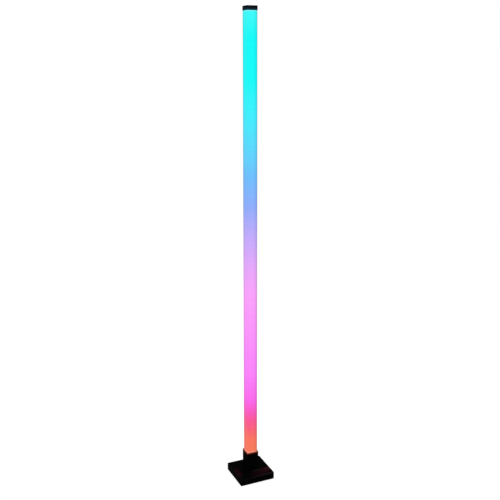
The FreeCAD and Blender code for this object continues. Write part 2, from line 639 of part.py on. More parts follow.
def make_power_inlet():
    """Socket body with a round nose that shows in the rear of the base."""
    nose_y = BASE_HALF - INLET_NOSE_RECESS
    left, right = INLET_X - INLET_WIDTH / 2, INLET_X + INLET_WIDTH / 2
    front, rear = BOARD_REAR_Y - INLET_DEPTH, BOARD_REAR_Y
    body = block(left, right, front, rear, BOARD_TOP_Z, BOARD_TOP_Z + INLET_HEIGHT)
    body = body.fuse(rearward_disc(INLET_X, REAR_AXIS_Z, INLET_NOSE_DIAMETER, rear, nose_y))
    body = body.cut(rearward_disc(INLET_X, REAR_AXIS_Z, INLET_BORE, nose_y - INLET_BORE_DEPTH, nose_y))
    return one_solid(body)


def make_inlet_pin():
    """Centre contact of the power inlet, standing on the bore's end."""
    nose_y = BASE_HALF - INLET_NOSE_RECESS
    root_y, tip_y = nose_y - INLET_BORE_DEPTH, nose_y - INLET_PIN_RECESS
    return rearward_disc(INLET_X, REAR_AXIS_Z, INLET_PIN_DIAMETER, root_y, tip_y)


def plunger_span():
    """The plunger's two ends along Y at rest: inside the switch, and on the button's flange."""
    return SWITCH_FRONT_Y - PLUNGER_ENTRY, FLANGE_REAR_Y


def make_switch_housing():
    """Body of the momentary switch, with the hole that its plunger runs in."""
    left, right = BUTTON_X - SWITCH_WIDTH / 2, BUTTON_X + SWITCH_WIDTH / 2
    top = BOARD_TOP_Z + SWITCH_HEIGHT
    body = block(left, right, SWITCH_FRONT_Y - SWITCH_DEPTH, SWITCH_FRONT_Y, BOARD_TOP_Z, top)
    bore_end = plunger_span()[0] - BUTTON_TRAVEL - PLUNGER_END_GAP
    bore = PLUNGER_DIAMETER + 2 * PLUNGER_CLEARANCE
    return body.cut(rearward_disc(BUTTON_X, REAR_AXIS_Z, bore, bore_end, SWITCH_FRONT_Y))


def make_switch_plunger():
    """Round plunger between the button and the switch."""
    low, high = plunger_span()
    return rearward_disc(BUTTON_X, REAR_AXIS_Z, PLUNGER_DIAMETER, low, high)


def make_power_button():
    """Round push button with a flange that keeps it behind the skirt."""
    face_y = BASE_HALF + BUTTON_STAND_OUT
    button = rearward_disc(BUTTON_X, REAR_AXIS_Z, BUTTON_DIAMETER, FLANGE_FRONT_Y, face_y)
    button = button.makeChamfer(BUTTON_EDGE_CHAMFER, rear_edges(button, face_y))
    flange = rearward_disc(BUTTON_X, REAR_AXIS_Z, BUTTON_FLANGE_DIAMETER, FLANGE_REAR_Y, FLANGE_FRONT_Y)
    return one_solid(button.fuse(flange))


# ---------------------------------------------------------------- lead


def make_strip_clip():
    """Clip on the web that grips the strip's lower end and takes the lead from below."""
    clip = centred_block(0, CLIP_DEPTH / 2, CLIP_WIDTH, CLIP_DEPTH, 0, CLIP_HEIGHT)
    slot_width = STRIP_WIDTH + 2 * CLIP_CLEARANCE
    slot_depth = STRIP_THICKNESS + CLIP_CLEARANCE
    slot = centred_block(0, slot_depth / 2, slot_width, slot_depth, CLIP_HEIGHT - CLIP_GRIP, CLIP_HEIGHT)
    return on_web(clip.cut(slot), CLIP_BOTTOM_Z)


def lead_side(radius):
    """One flat side of the lead seen along X: out from the board, round the elbow at a radius, and up."""
    elbow_y, elbow_z = LEAD_Y + LEAD_BEND, LEAD_EXIT_Z + LEAD_BEND
    diagonal = radius / ROOT2
    left = LEAD_X - LEAD_WIDTH / 2
    bend_start = Vector(left, elbow_y, elbow_z - radius)
    bend_middle = Vector(left, elbow_y - diagonal, elbow_z - diagonal)
    bend_end = Vector(left, elbow_y - radius, elbow_z)
    return [
        Part.LineSegment(Vector(left, BOARD_FRONT_Y, elbow_z - radius), bend_start).toShape(),
        Part.Arc(bend_start, bend_middle, bend_end).toShape(),
        Part.LineSegment(bend_end, Vector(left, elbow_y - radius, CLIP_BOTTOM_Z)).toShape(),
    ]


def make_strip_lead():
    """Flat lead: straight from the board's connector, one elbow, and up to the clip."""
    inside = lead_side(LEAD_BEND - LEAD_THICKNESS / 2)
    outside = lead_side(LEAD_BEND + LEAD_THICKNESS / 2)
    upper_end = Part.makeLine(inside[-1].Vertexes[-1].Point, outside[-1].Vertexes[-1].Point)
    lower_end = Part.makeLine(outside[0].Vertexes[0].Point, inside[0].Vertexes[0].Point)
    section = Part.Face(Part.Wire(inside + [upper_end] + outside[::-1] + [lower_end]))
    lead = section.extrude(Vector(LEAD_WIDTH, 0, 0))
    run = BOARD_FRONT_Y - LEAD_Y - LEAD_BEND
    rise = CLIP_BOTTOM_Z - LEAD_EXIT_Z - LEAD_BEND
    length = run + LEAD_BEND * math.pi / 2 + rise
    ratio = lead.Volume / (LEAD_WIDTH * LEAD_THICKNESS * length)
    print("strip lead: %.1f mm long, bend %.1f mm, volume ratio %.4f" % (length, LEAD_BEND, ratio))
    return lead


# ---------------------------------------------------------------- export

SUB_PARTS = {
    "channel": make_channel,
    "diffuser": make_diffuser,
    "led_strip": make_led_strip,
    "leds": make_leds,
    "pixel_chips": make_pixel_chips,
    "top_cap": make_top_cap,
    "collar": make_collar,
    "column_screws": make_column_screws,
    "lead_grommet": make_lead_grommet,
    "base_cover": make_base_cover,
    "ballast": make_ballast,
    "bottom_plate": make_bottom_plate,
    "plate_screws": make_plate_screws,
    "foot_pads": make_foot_pads,
    "control_board": make_control_board,
    "board_screws": make_board_screws,
    "radio_module": make_radio_module,
    "filter_capacitor": make_filter_capacitor,
    "voltage_regulator": make_voltage_regulator,
    "lead_connector": make_lead_connector,
    "power_inlet": make_power_inlet,
    "inlet_pin": make_inlet_pin,
    "switch_housing": make_switch_housing,
    "switch_plunger": make_switch_plunger,
    "power_button": make_power_button,
    "strip_clip": make_strip_clip,
    "strip_lead": make_strip_lead,
}


def main():
    """Builds every sub-part and writes one STEP file for each."""
    os.makedirs("parts", exist_ok=True)
    for name, make in SUB_PARTS.items():
        shape = make()
        shape.exportStep(os.path.join("parts", name + ".step"))
        valid = shape.isValid() and all(s.Volume > 0 for s in shape.Solids)
        print("%-18s solids %3d  volume %10.2f  valid %s" % (name, len(shape.Solids), shape.Volume, valid))


main()
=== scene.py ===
import logging
import math
from dataclasses import dataclass
from enum import Enum
from typing import Any, Callable, Mapping, Optional, Sequence, Union

import bmesh
import bpy
from mathutils import Matrix, Vector


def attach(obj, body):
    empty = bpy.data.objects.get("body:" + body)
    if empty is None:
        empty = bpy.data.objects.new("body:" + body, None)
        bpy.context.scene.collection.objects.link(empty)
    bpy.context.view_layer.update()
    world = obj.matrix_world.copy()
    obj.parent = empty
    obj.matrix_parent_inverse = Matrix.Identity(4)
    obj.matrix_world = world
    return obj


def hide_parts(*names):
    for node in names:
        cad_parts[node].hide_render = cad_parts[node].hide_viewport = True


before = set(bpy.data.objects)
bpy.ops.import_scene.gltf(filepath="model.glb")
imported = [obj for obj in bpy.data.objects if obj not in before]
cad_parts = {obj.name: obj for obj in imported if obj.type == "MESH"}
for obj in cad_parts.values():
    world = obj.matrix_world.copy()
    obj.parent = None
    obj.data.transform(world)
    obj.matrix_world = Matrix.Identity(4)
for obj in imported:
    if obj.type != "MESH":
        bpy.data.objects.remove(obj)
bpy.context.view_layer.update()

# Corner floor lamp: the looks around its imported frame.
#
# Shapes are drawn in millimetres, in the frame's own axes (+Z up, lit corner towards -X -Y, rear towards +Y),
# and are scaled to metres when they become objects.  Finishes and lamps are in metres.

MM = 0.001
LAMP = "lamp"
BUTTON = "button"
WHITE = (1.0, 1.0, 1.0)
DARK = (0.0, 0.0, 0.0)
DRIFT_DETAIL = 3.0  # octaves in the slow drift of a finish's colour
LIT_TURN = Matrix.Rotation(math.radians(135.0), 4, "Z")  # turns +Y towards the lit corner
Z_TO_Y = Matrix.Rotation(math.radians(-90.0), 4, "X")  # lays what stands along +Z along +Y

Flat = tuple[float, float]
Point = tuple[float, float, float]
Ring = list[Point]
Colour = tuple[float, float, float]

log = logging.getLogger("corner_lamp")


# ---------------------------------------------------------------- node trees


def operator(operation: str, reflected: bool = False) -> Callable[["Wire", "Number"], "Wire"]:
    """Makes the method that stands behind one of Python's operators on wires.

    Args:
        operation: the Math node's operation.
        reflected: whether the wire is the second operand.

    Returns:
        The method.
    """

    def method(self: "Wire", other: "Number") -> "Wire":
        """Adds the Math node."""
        operands = (other, self) if reflected else (self, other)
        return self.math(operation, *operands)

    return method


class Wire:
    """An output socket of a node tree, on which Python's operators add Math nodes."""

    __add__, __radd__ = operator("ADD"), operator("ADD", True)
    __sub__, __rsub__ = operator("SUBTRACT"), operator("SUBTRACT", True)
    __mul__, __rmul__ = operator("MULTIPLY"), operator("MULTIPLY", True)
    __truediv__ = operator("DIVIDE")
    __mod__ = operator("FLOORED_MODULO")
    most = operator("MAXIMUM")
    least = operator("MINIMUM")

    def __init__(self, graph: "Graph", socket: bpy.types.NodeSocket) -> None:
        """Keeps the tree and the socket."""
        self.graph = graph
        self.socket = socket

    def math(self, operation: str, *operands: "Number") -> "Wire":
        """Adds a Math node.

        Args:
            operation: the Math node's operation.
            operands: numbers or wires, in the node's order.

        Returns:
            The wire of the node's result.
        """
        return self.graph.node("ShaderNodeMath", {"operation": operation}, dict(enumerate(operands)))

    def __abs__(self) -> "Wire":
        """Size without its sign."""
        return self.math("ABSOLUTE", self)

    def cosine(self) -> "Wire":
        """Cosine of an angle in radians."""
        return self.math("COSINE", self)

    def rise(self, low: float, high: float) -> "Wire":
        """A smooth step.

        Args:
            low: where the step is still 0.
            high: where it has reached 1; below low, the step falls instead.

        Returns:
            The step's wire.
        """
        settings = {"interpolation_type": "SMOOTHSTEP"}
        return self.graph.node("ShaderNodeMapRange", settings, {"Value": self, "From Min": low, "From Max": high})


Number = Union[Wire, float]


class Graph:
    """A shader or geometry node tree that is being built."""

    def __init__(self, tree: bpy.types.NodeTree) -> None:
        """Takes an empty tree."""
        self.tree = tree

    def node(
        self,
        kind: str,
        settings: Optional[Mapping[str, Any]] = None,
        inputs: Optional[Mapping[Union[str, int], Any]] = None,
        output: Union[str, int] = 0,
    ) -> Wire:
        """Adds any node.

        Args:
            kind: the node's type.
            settings: its own properties, and "stops" for a colour ramp.
            inputs: numbers, colours or wires for its sockets, by name or place.
            output: which of its results is wanted.

        Returns:
            The wire of that result.
        """
        node = self.tree.nodes.new(kind)
        for name, value in (settings or {}).items():
            if name == "stops":
                self._set_stops(node.color_ramp, value)
            else:
                setattr(node, name, value)
        for key, value in (inputs or {}).items():
            if isinstance(value, Wire):
                self.tree.links.new(value.socket, node.inputs[key])
            else:
                node.inputs[key].default_value = value
        return Wire(self, node.outputs[output])

    @staticmethod
    def _set_stops(ramp: bpy.types.ColorRamp, stops: Sequence[tuple[float, Colour]]) -> None:
        """Gives a ramp its stops.

        Args:
            ramp: the node's ramp, with its two stops.
            stops: places from 0 to 1, in order, and their linear colours.
        """
        for place, _ in stops[2:]:
            ramp.elements.new(place)
        for element, (place, colour) in zip(ramp.elements, stops):
            element.position = place
            element.color = (*colour, 1.0)

    def link(self, wire: Wire, socket: bpy.types.NodeSocket) -> None:
        """Links a wire to a socket."""
        self.tree.links.new(wire.socket, socket)


def linear(red: int, green: int, blue: int) -> Colour:
    """The linear colour of a display colour with channels from 0 to 255.

    Args:
        red: the first channel.
        green: the second.
        blue: the third.

    Returns:
        The three linear channels.
    """

    def channel(value: int) -> float:
        """One channel, by the display's transfer curve."""
        share = value / 255.0
        return share / 12.92 if share <= 0.04045 else ((share + 0.055) / 1.055) ** 2.4

    return channel(red), channel(green), channel(blue)


# ---------------------------------------------------------------- finishes


class Surface(Graph):
    """A material's tree, with the patterns that this lamp's finishes share."""

    def __init__(self, name: str) -> None:
        """Makes an empty material.

        Args:
            name: the material's name, which is its slot's.
        """
        self.result = bpy.data.materials.new(name)
        self.result.use_nodes = True
        super().__init__(self.result.node_tree)
        self.tree.nodes.clear()
        self.place = self.node("ShaderNodeTexCoord", output="Object")
        self.x, self.y, self.z = (
            self.node("ShaderNodeSeparateXYZ", inputs={0: self.place}, output=axis) for axis in "XYZ"
        )

    def mix(self, factor: Number, first: Any, second: Any) -> Wire:
        """Mixes two colours.

        Args:
            factor: 0 for the first, 1 for the second.
            first: a linear colour or its wire.
            second: a linear colour or its wire.

        Returns:
            The mixed colour's wire.
        """
        ends = [(*c, 1.0) if isinstance(c, tuple) else c for c in (first, second)]
        return self.node("ShaderNodeMix", {"data_type": "RGBA"}, {0: factor, 6: ends[0], 7: ends[1]}, 2)

    def scaled(self, colour: Wire, factor: Number) -> Wire:
        """A colour times a number."""
        return self.node("ShaderNodeVectorMath", {"operation": "SCALE"}, {0: colour, "Scale": factor})

    def noise(self, size: float, stretch: Point = (1.0, 1.0, 1.0), detail: float = 2.0) -> Wire:
        """Noise over the object.

        Args:
            size: size of a feature, in metres.
            stretch: how much denser the features lie along each axis.
            detail: octaves of finer noise.

        Returns:
            The noise's wire, from 0 to 1.
        """
        where = self.node("ShaderNodeMapping", inputs={"Vector": self.place, "Scale": stretch})
        return self.node("ShaderNodeTexNoise", inputs={"Vector": where, "Scale": 1.0 / size, "Detail": detail})

    def blob(self, centre: Point, radii: Point) -> Wire:
        """A soft mask.

        Args:
            centre: where the mask is 1, in metres.
            radii: how far it reaches along each axis, in metres.

        Returns:
            The mask's wire, which falls to 0 at the radii.
        """
        offset = self.node("ShaderNodeVectorMath", {"operation": "SUBTRACT"}, {0: self.place, 1: centre})
        share = self.node("ShaderNodeVectorMath", {"operation": "DIVIDE"}, {0: offset, 1: radii})
        reach = self.node("ShaderNodeVectorMath", {"operation": "LENGTH"}, {0: share}, "Value")
        return reach.rise(1.0, 0.0)

    def bump(self, height: Wire, depth: float, strength: float = 1.0) -> Wire:
        """Turns a height into a normal.

        Args:
            height: from 0 to 1.
            depth: what a height of 1 stands for, in metres.
            strength: how much of it shows.

        Returns:
            The normal's wire.
        """
        return self.node("ShaderNodeBump", inputs={"Height": height, "Distance": depth, "Strength": strength})

    def finish(self, **sockets: Any) -> bpy.types.Material:
        """Ends the tree in a Principled shader.

        Args:
            sockets: its inputs, with underscores for the spaces in their names.

        Returns:
            The finished material.
        """
        inputs = {name.replace("_", " "): value for name, value in sockets.items()}
        for name, value in inputs.items():
            if isinstance(value, tuple) and len(value) == 3:
                inputs[name] = (*value, 1.0)
        shader = self.node("ShaderNodeBsdfPrincipled", inputs=inputs)
        output = self.tree.nodes.new("ShaderNodeOutputMaterial")
        self.link(shader, output.inputs["Surface"])
        return self.result


class Grain(Enum):
    """The kinds of fine surface that a plain finish may have."""

    SPARKED = "fine spark-eroded mould texture"
    COATED = "orange peel of a powder coat"
    DRAWN = "fine lines along Z, from the extrusion die or the brush"
    ROLLED = "fine lines along X, from the rolling mill"
    PLATED = "faint clouds of a plated or sheathed surface"


@dataclass(frozen=True)
class Finish:
    """A plain finish: one colour with its variation, gloss and grain."""

    slot: str
    colour: Colour
    shade: Colour  # what the colour drifts to
    roughness: float
    grain: Grain
    metallic: float = 0.0
    specular: float = 0.5
    grain_size: float = 0.0004  # metres
    grain_depth: float = 0.00002  # metres
    drift_size: float = 0.012  # metres

    def stretch(self) -> Point:
        """How much denser the grain lies along each axis.

        Returns:
            The density along X, Y and Z.
        """
        if self.grain is Grain.DRAWN:
            return 1.0, 1.0, 0.012
        if self.grain is Grain.ROLLED:
            return 0.02, 1.0, 1.0
        return 1.0, 1.0, 1.0

    def grain_height(self, surface: Surface) -> Wire:
        """The grain's height.

        Args:
            surface: the tree to draw it in.

        Returns:
            Its wire, from 0 to 1.
        """
        fine = surface.noise(self.grain_size, self.stretch())
        if self.grain is Grain.COATED:
            return 0.7 * surface.noise(4.0 * self.grain_size) + 0.3 * fine
        if self.grain is Grain.PLATED:
            return 0.5 * surface.noise(6.0 * self.grain_size) + 0.5 * fine
        return fine

    def light(self, surface: Surface) -> Optional[Wire]:
        """Painted light that the surface gives off as emission, beside what falls on it: none on a plain finish.

        Args:
            surface: the tree to draw it in.

        Returns:
            Its colour's wire, or None.
        """
        return None

    def material(self) -> bpy.types.Material:
        """Builds the material.

        Returns:
            The material.
        """
        surface = Surface(self.slot)
        height = self.grain_height(surface)
        drift = surface.noise(self.drift_size, self.stretch(), DRIFT_DETAIL)
        # Any painted light goes into the emission.
        light = self.light(surface)
        glow = {} if light is None else {"Emission_Color": light, "Emission_Strength": 1.0}
        return surface.finish(
            Base_Color=surface.mix(drift, self.colour, self.shade),
            Metallic=self.metallic,
            Specular_IOR_Level=self.specular,
            Roughness=self.roughness + 0.16 * (height - 0.5) + 0.08 * (drift - 0.5),
            Normal=surface.bump(height, self.grain_depth),
            **glow,
        )


@dataclass(frozen=True)
class PaintedGlow:
    """Painted light: a soft patch of emission that stands in for the faint light and reflection a black surface takes
    from the lit column beside it.
    """

    colour: Colour
    centre: Point  # metres
    radii: Point  # metres


def painted_side_glows(colour: Colour, half: float, z: float, reach: float) -> tuple[PaintedGlow, ...]:
    """Painted glows along the two lit sides of a square block round the column, standing in for the column's light on
    it.

    Args:
        colour: the painted light at its strongest.
        half: half of the block's side, in metres.
        z: height at which it is strongest.
        reach: how far it fades upwards and downwards.

    Returns:
        One painted glow for the side towards -X and one for the side towards -Y.
    """
    near, along, across = -half + 0.0015, 0.05, 0.006
    return (
        PaintedGlow(colour, (near, 0.0, z), (across, along, reach)),
        PaintedGlow(colour, (0.0, near, z), (along, across, reach)),
    )


@dataclass(frozen=True)
class LitBlack(Finish):
    """A satin black skin with painted light: painted glows where the column's light would fall on it, and a painted
    highlight along its top outer edge.
    """

    painted_glows: tuple[PaintedGlow, ...] = ()
    crest: float = 0.0  # the larger of x and y, plus z, at the top outer edge that gets the painted highlight, in metres
    edge_highlight_width: float = 0.0007  # metres
    # colour of the painted highlight on the top outer edge
    edge_highlight_colour: Colour = (0.008, 0.0075, 0.0075)

    def material(self) -> bpy.types.Material:
        """Builds the material.

        Returns:
            The material.
        """
        surface = Surface(self.slot)
        height = self.grain_height(surface)
        drift = surface.noise(self.drift_size, self.stretch(), DRIFT_DETAIL)
        rise = abs(surface.x).most(abs(surface.y)) + surface.z
        # Painted highlight: the top outer edge is made paler and glossier, broken up by noise.
        painted_edge_highlight = rise.rise(self.crest - self.edge_highlight_width, self.crest) * (0.45 + 0.9 * surface.noise(0.006))
        skin = surface.mix(drift, self.colour, self.shade)
        # Painted light: the glows are painted into the emission in Object coordinates, so they stay where they are from
        # every side.
        light: Any = DARK
        for glow in self.painted_glows:
            light = surface.mix(surface.blob(glow.centre, glow.radii), light, glow.colour)
        return surface.finish(
            Base_Color=surface.mix(painted_edge_highlight, skin, self.edge_highlight_colour),
            Specular_IOR_Level=self.specular,
            Roughness=self.roughness + 0.2 * (height - 0.5) - 0.1 * painted_edge_highlight,
            Emission_Color=light,
            Emission_Strength=1.0,
            Normal=surface.bump(height, self.grain_depth),
        )


@dataclass(frozen=True)
class ColourRun:
    """The light's colours up the column, from coral at the foot to aqua at the top."""

    foot: float  # lowest and highest lit height, in metres
    top: float

    def stops(self) -> list[tuple[float, Colour]]:
        """The run of colours, as heights in metres and linear colours, from the foot up.

        Returns:
            The stops, in order.
        """
        aqua = linear(21, 250, 248)
        return [
            (0.090, linear(250, 126, 93)),  # coral
            (0.125, linear(253, 120, 98)),
            (0.155, linear(252, 103, 118)),
            (0.190, linear(253, 90, 152)),  # rose
            (0.222, linear(252, 94, 202)),
            (0.256, linear(253, 106, 238)),  # magenta
            (0.345, linear(252, 132, 253)),
            (0.590, linear(252, 163, 253)),  # pink
            (0.675, linear(230, 169, 252)),
            (0.765, linear(195, 172, 253)),  # lilac
            (0.852, linear(144, 174, 253)),  # periwinkle
            (0.938, linear(112, 191, 253)),
            (0.980, linear(102, 207, 254)),  # azure
            (1.105, linear(64, 238, 254)),  # sky
            (1.205, aqua),
            (1.320, aqua),
            (1.385, linear(65, 249, 250)),
        ]

    def hue(self, surface: Surface) -> Wire:
        """The colour at every height.

        Args:
            surface: the tree to draw it in.

        Returns:
            The colour's wire.
        """
        span = self.top - self.foot
        stops = [((z - self.foot) / span, colour) for z, colour in self.stops()]
        return surface.node("ShaderNodeValToRGB", {"stops": stops}, {0: (surface.z - self.foot) / span})


@dataclass(frozen=True)
class EdgeLitBlack(Finish):
    """Black anodising with painted light: its wall ends, beside the opal cover, get the cover's colour as emission."""

    run: Optional[ColourRun] = None
    face: float = -0.0149  # where the lit sides lie, in metres
    inner: float = 0.0137  # the walls' thickness begins here, in metres
    outer: float = 0.0152
    painted_spill: float = 0.70  # share of the light's colour painted on the wall ends

    def light(self, surface: Surface) -> Optional[Wire]:
        """The painted light on the wall ends.

        Args:
            surface: the tree to draw it in.

        Returns:
            Its colour's wire.
        """
        front = surface.x.least(surface.y).rise(self.face + 0.0004, self.face)
        share = front * surface.x.most(surface.y).rise(self.outer, self.inner)
        return surface.scaled(self.run.hue(surface), self.painted_spill * share)


@dataclass(frozen=True)
class OpalLight:
    """Opal cover, lit from inside, whose colour runs from aqua at the top to coral at the foot."""

    slot: str
    light: ColourRun
    led_pitch: float  # metres
    edge: float  # the larger of x and y where the face starts to dim, in metres
    dark_edge: float  # and where it has dimmed
    glow: float = 0.76  # share of the colour that comes from inside as emission; the rest is painted light in the base colour
    roughness: float = 0.5
    edge_dimming: float = 0.2
    end_reach: float = 0.0035  # metres from the rim and from the cap where the colour pales
    end_paleness: float = 0.22

    def material(self) -> bpy.types.Material:
        """Builds the material.

        Returns:
            The material.
        """
        surface = Surface(self.slot)
        foot, top = self.light.foot, self.light.top
        near_foot = surface.z.rise(foot + self.end_reach, foot)
        ends = near_foot.most(surface.z.rise(top - self.end_reach, top))
        hue = surface.mix(self.end_paleness * ends, self.light.hue(surface), WHITE)
        ripple = (surface.z * (2.0 * math.pi / self.led_pitch)).cosine()
        across = surface.x.most(surface.y)
        cloud = surface.noise(0.03, (1.0, 1.0, 0.4), 3.0)
        level = 0.95 + 0.008 * ripple + 0.02 * (cloud - 0.5)
        level = level - self.edge_dimming * across.rise(self.edge, self.dark_edge)
        frost = 0.6 * surface.noise(0.0006) + 0.4 * surface.noise(0.00012)
        return surface.finish(
            # Painted light: the opal's base colour carries the light's hue, not the cover's own white.
            Base_Color=surface.scaled(hue, 1.0 - self.glow),
            Specular_IOR_Level=0.03,
            Roughness=self.roughness + 0.12 * (frost - 0.5),
            Emission_Color=surface.scaled(hue, level),
            Emission_Strength=self.glow,
            Normal=surface.bump(frost, 0.00001),
        )


@dataclass(frozen=True)
class CircuitBoard:
    """Green solder mask over copper tracks, with gilt pads and vias."""

    slot: str
    mask: Colour = (0.012, 0.085, 0.035)
    track: Colour = (0.03, 0.17, 0.07)
    pad: Colour = (0.62, 0.48, 0.2)

    def material(self) -> bpy.types.Material:
        """Builds the material.

        Returns:
            The material.
        """
        surface = Surface(self.slot)
        bricks = {"offset": 0.37, "squash": 0.6}
        across = surface.node("ShaderNodeMapping", inputs={"Vector": surface.place, "Scale": (420.0, 420.0, 0.0)})
        gaps = surface.node(
            "ShaderNodeTexBrick",
            bricks,
            {"Vector": across, "Scale": 1.0, "Mortar Size": 0.05, "Mortar Smooth": 0.2},
            "Fac",
        )
        cells = surface.node(
            "ShaderNodeTexVoronoi", {"feature": "F1"}, {"Vector": across, "Scale": 0.55, "Randomness": 0.7}, "Distance"
        )
        via = cells.rise(0.17, 0.13)
        skin = surface.mix(gaps, self.mask, self.track)
        return surface.finish(
            Base_Color=surface.mix(via, skin, self.pad),
            Metallic=via,
            Roughness=0.34 - 0.06 * gaps + 0.1 * (surface.noise(0.002) - 0.5),
            Normal=surface.bump(gaps.most(via), 0.00003),
        )


@dataclass(frozen=True)
class FlexTape:
    """White flexible circuit with copper pads and a cut line between its segments."""

    slot: str
    start: float  # foot of the first segment, in metres
    segment: float  # metres
    white: Colour = (0.82, 0.83, 0.8)
    copper: Colour = (0.72, 0.42, 0.25)

    def material(self) -> bpy.types.Material:
        """Builds the material.

        Returns:
            The material.
        """
        surface = Surface(self.slot)
        along = (surface.z - self.start + self.segment / 2) % self.segment - self.segment / 2
        near = abs(along)
        across = (surface.x - surface.y) * (0.5 * math.sqrt(2.0))
        lane = abs(across % 0.0024 - 0.0012)
        pads = near.rise(0.0023, 0.0020) * lane.rise(0.0009, 0.0007)
        line = near.rise(0.0002, 0.0001)
        tracks = lane.rise(0.0004, 0.0003) * 0.12
        skin = surface.mix(tracks, self.white, self.copper)
        return surface.finish(
            Base_Color=surface.mix(line, surface.mix(pads, skin, self.copper), (0.02, 0.02, 0.02)),
            Metallic=pads * (1.0 - line),
            Roughness=0.5 - 0.2 * pads + 0.1 * (surface.noise(0.001) - 0.5),
            Normal=surface.bump(pads, 0.00003),
        )


@dataclass(frozen=True)
class LightPackage:
    """White LED package: bare contacts, and a yellowish window that glows a little."""

    slot: str
    window: str  # attribute that is 1 on the window
    contact: str  # attribute that is 1 on the contacts

    def material(self) -> bpy.types.Material:
        """Builds the material.

        Returns:
            The material.
        """
        surface = Surface(self.slot)
        window = surface.node("ShaderNodeAttribute", {"attribute_name": self.window}, output="Fac")
        contact = surface.node("ShaderNodeAttribute", {"attribute_name": self.contact}, output="Fac")
        body = surface.mix(window, (0.86, 0.86, 0.83), (0.9, 0.78, 0.32))
        grain = surface.noise(0.0002)
        return surface.finish(
            Base_Color=surface.mix(contact, body, (0.75, 0.75, 0.73)),
            Metallic=contact,
            Roughness=0.42 - 0.22 * window + 0.12 * (grain - 0.5),
            Emission_Color=surface.mix(window, DARK, (0.5, 0.5, 0.45)),
            Emission_Strength=1.0,
            Normal=surface.bump(grain, 0.00001),
        )


@dataclass(frozen=True)
class ChipPackage:
    """Black moulded chip with tinned legs."""

    slot: str
    leg: str  # attribute that is 1 on the legs
    dot: str  # attribute that is 1 in the dimple beside the first leg

    def material(self) -> bpy.types.Material:
        """Builds the material.

        Returns:
            The material.
        """
        surface = Surface(self.slot)
        leg = surface.node("ShaderNodeAttribute", {"attribute_name": self.leg}, output="Fac")
        dot = surface.node("ShaderNodeAttribute", {"attribute_name": self.dot}, output="Fac")
        grain = surface.noise(0.00015)
        body = surface.mix(dot, (0.022, 0.022, 0.023), (0.07, 0.07, 0.07))
        return surface.finish(
            Base_Color=surface.mix(leg, body, (0.7, 0.7, 0.68)),
            Metallic=leg,
            Roughness=0.62 - 0.3 * leg - 0.2 * dot + 0.14 * (grain - 0.5),
            Normal=surface.bump(grain, 0.00002),
        )


BLACK: Colour = (0.0007, 0.0007, 0.0008)
BLACK_SHADE: Colour = (0.0013, 0.0013, 0.0014)

COVER_BLACK = LitBlack(
    "cover_black",
    BLACK,
    BLACK_SHADE,
    0.42,
    Grain.SPARKED,
    specular=0.0006,
    painted_glows=(
        # Painted light on the base's top: a broad dim red band, a right and a left maroon patch where the column's
        # light would fall, a painted highlight at the collar's foot and one along the top's -Y edge.
        PaintedGlow((0.0070, 0.0009, 0.0018), (0.020, -0.038, 0.0215), (0.055, 0.026, 0.004)),
        PaintedGlow((0.0205, 0.0030, 0.0050), (0.046, -0.027, 0.0215), (0.036, 0.018, 0.004)),
        PaintedGlow((0.0105, 0.0007, 0.0030), (-0.047, -0.014, 0.0215), (0.013, 0.040, 0.004)),
        PaintedGlow((0.0180, 0.0110, 0.0115), (0.009, -0.0215, 0.0215), (0.022, 0.0030, 0.004)),
        PaintedGlow((0.0140, 0.0075, 0.0080), (0.040, -0.0535, 0.0212), (0.075, 0.0030, 0.003)),
    ),
    crest=0.0765,
)
COLLAR_BLACK = LitBlack(
    "collar_black",
    BLACK,
    BLACK_SHADE,
    0.36,
    Grain.COATED,
    specular=0.0006,
    painted_glows=(
        # Painted light: a dim red glow down the collar's two lit sides, and a bright painted highlight on its rim
        # beside the column.
        *painted_side_glows((0.120, 0.012, 0.004), 0.0185, 0.0840, 0.0090),
        *painted_side_glows((0.75, 0.21, 0.15), 0.0185, 0.0830, 0.0010),
    ),
    crest=0.1014,
)
CAP_BLACK = LitBlack(
    "cap_black",
    (0.0028, 0.0028, 0.0036),
    (0.0040, 0.0040, 0.0050),
    0.42,
    Grain.SPARKED,
    specular=0.0006,
    # Painted light: a faint cyan glow on the cap's skirt above the column's lit sides.
    painted_glows=painted_side_glows((0.0010, 0.0340, 0.0600), 0.0158, 1.3861, 0.0115),
    crest=1.4157,
)
LAMP_LIGHT = ColourRun(foot=0.0830, top=1.3877)
CHANNEL_BLACK = EdgeLitBlack(
    "channel_black",
    (0.006, 0.006, 0.0065),
    (0.010, 0.010, 0.011),
    0.36,
    Grain.DRAWN,
    specular=0.02,
    grain_size=0.0005,
    grain_depth=0.00003,
    run=LAMP_LIGHT,
)
PLATE_BLACK = Finish(
    "plate_black", (0.010, 0.010, 0.011), (0.016, 0.016, 0.017), 0.55, Grain.COATED, specular=0.1, grain_depth=0.00005
)
PAD_RUBBER = Finish("pad_rubber", (0.007, 0.007, 0.007), (0.013, 0.013, 0.013), 0.86, Grain.SPARKED, specular=0.05)
GROMMET_BLACK = Finish("grommet_black", (0.010, 0.010, 0.010), (0.018, 0.018, 0.018), 0.8, Grain.SPARKED, specular=0.1)
INLET_BLACK = Finish("inlet_black", (0.008, 0.008, 0.008), (0.013, 0.013, 0.013), 0.3, Grain.PLATED, specular=0.15)
BUTTON_BLACK = Finish("button_black", (0.006, 0.006, 0.0065), (0.010, 0.010, 0.011), 0.4, Grain.SPARKED, specular=0.06)
SWITCH_GREY = Finish("switch_grey", (0.10, 0.10, 0.105), (0.13, 0.13, 0.135), 0.5, Grain.SPARKED)
BALLAST_STEEL = Finish(
    "ballast_steel", (0.30, 0.30, 0.31), (0.40, 0.385, 0.36), 0.42, Grain.ROLLED, metallic=1.0, grain_depth=0.00004
)
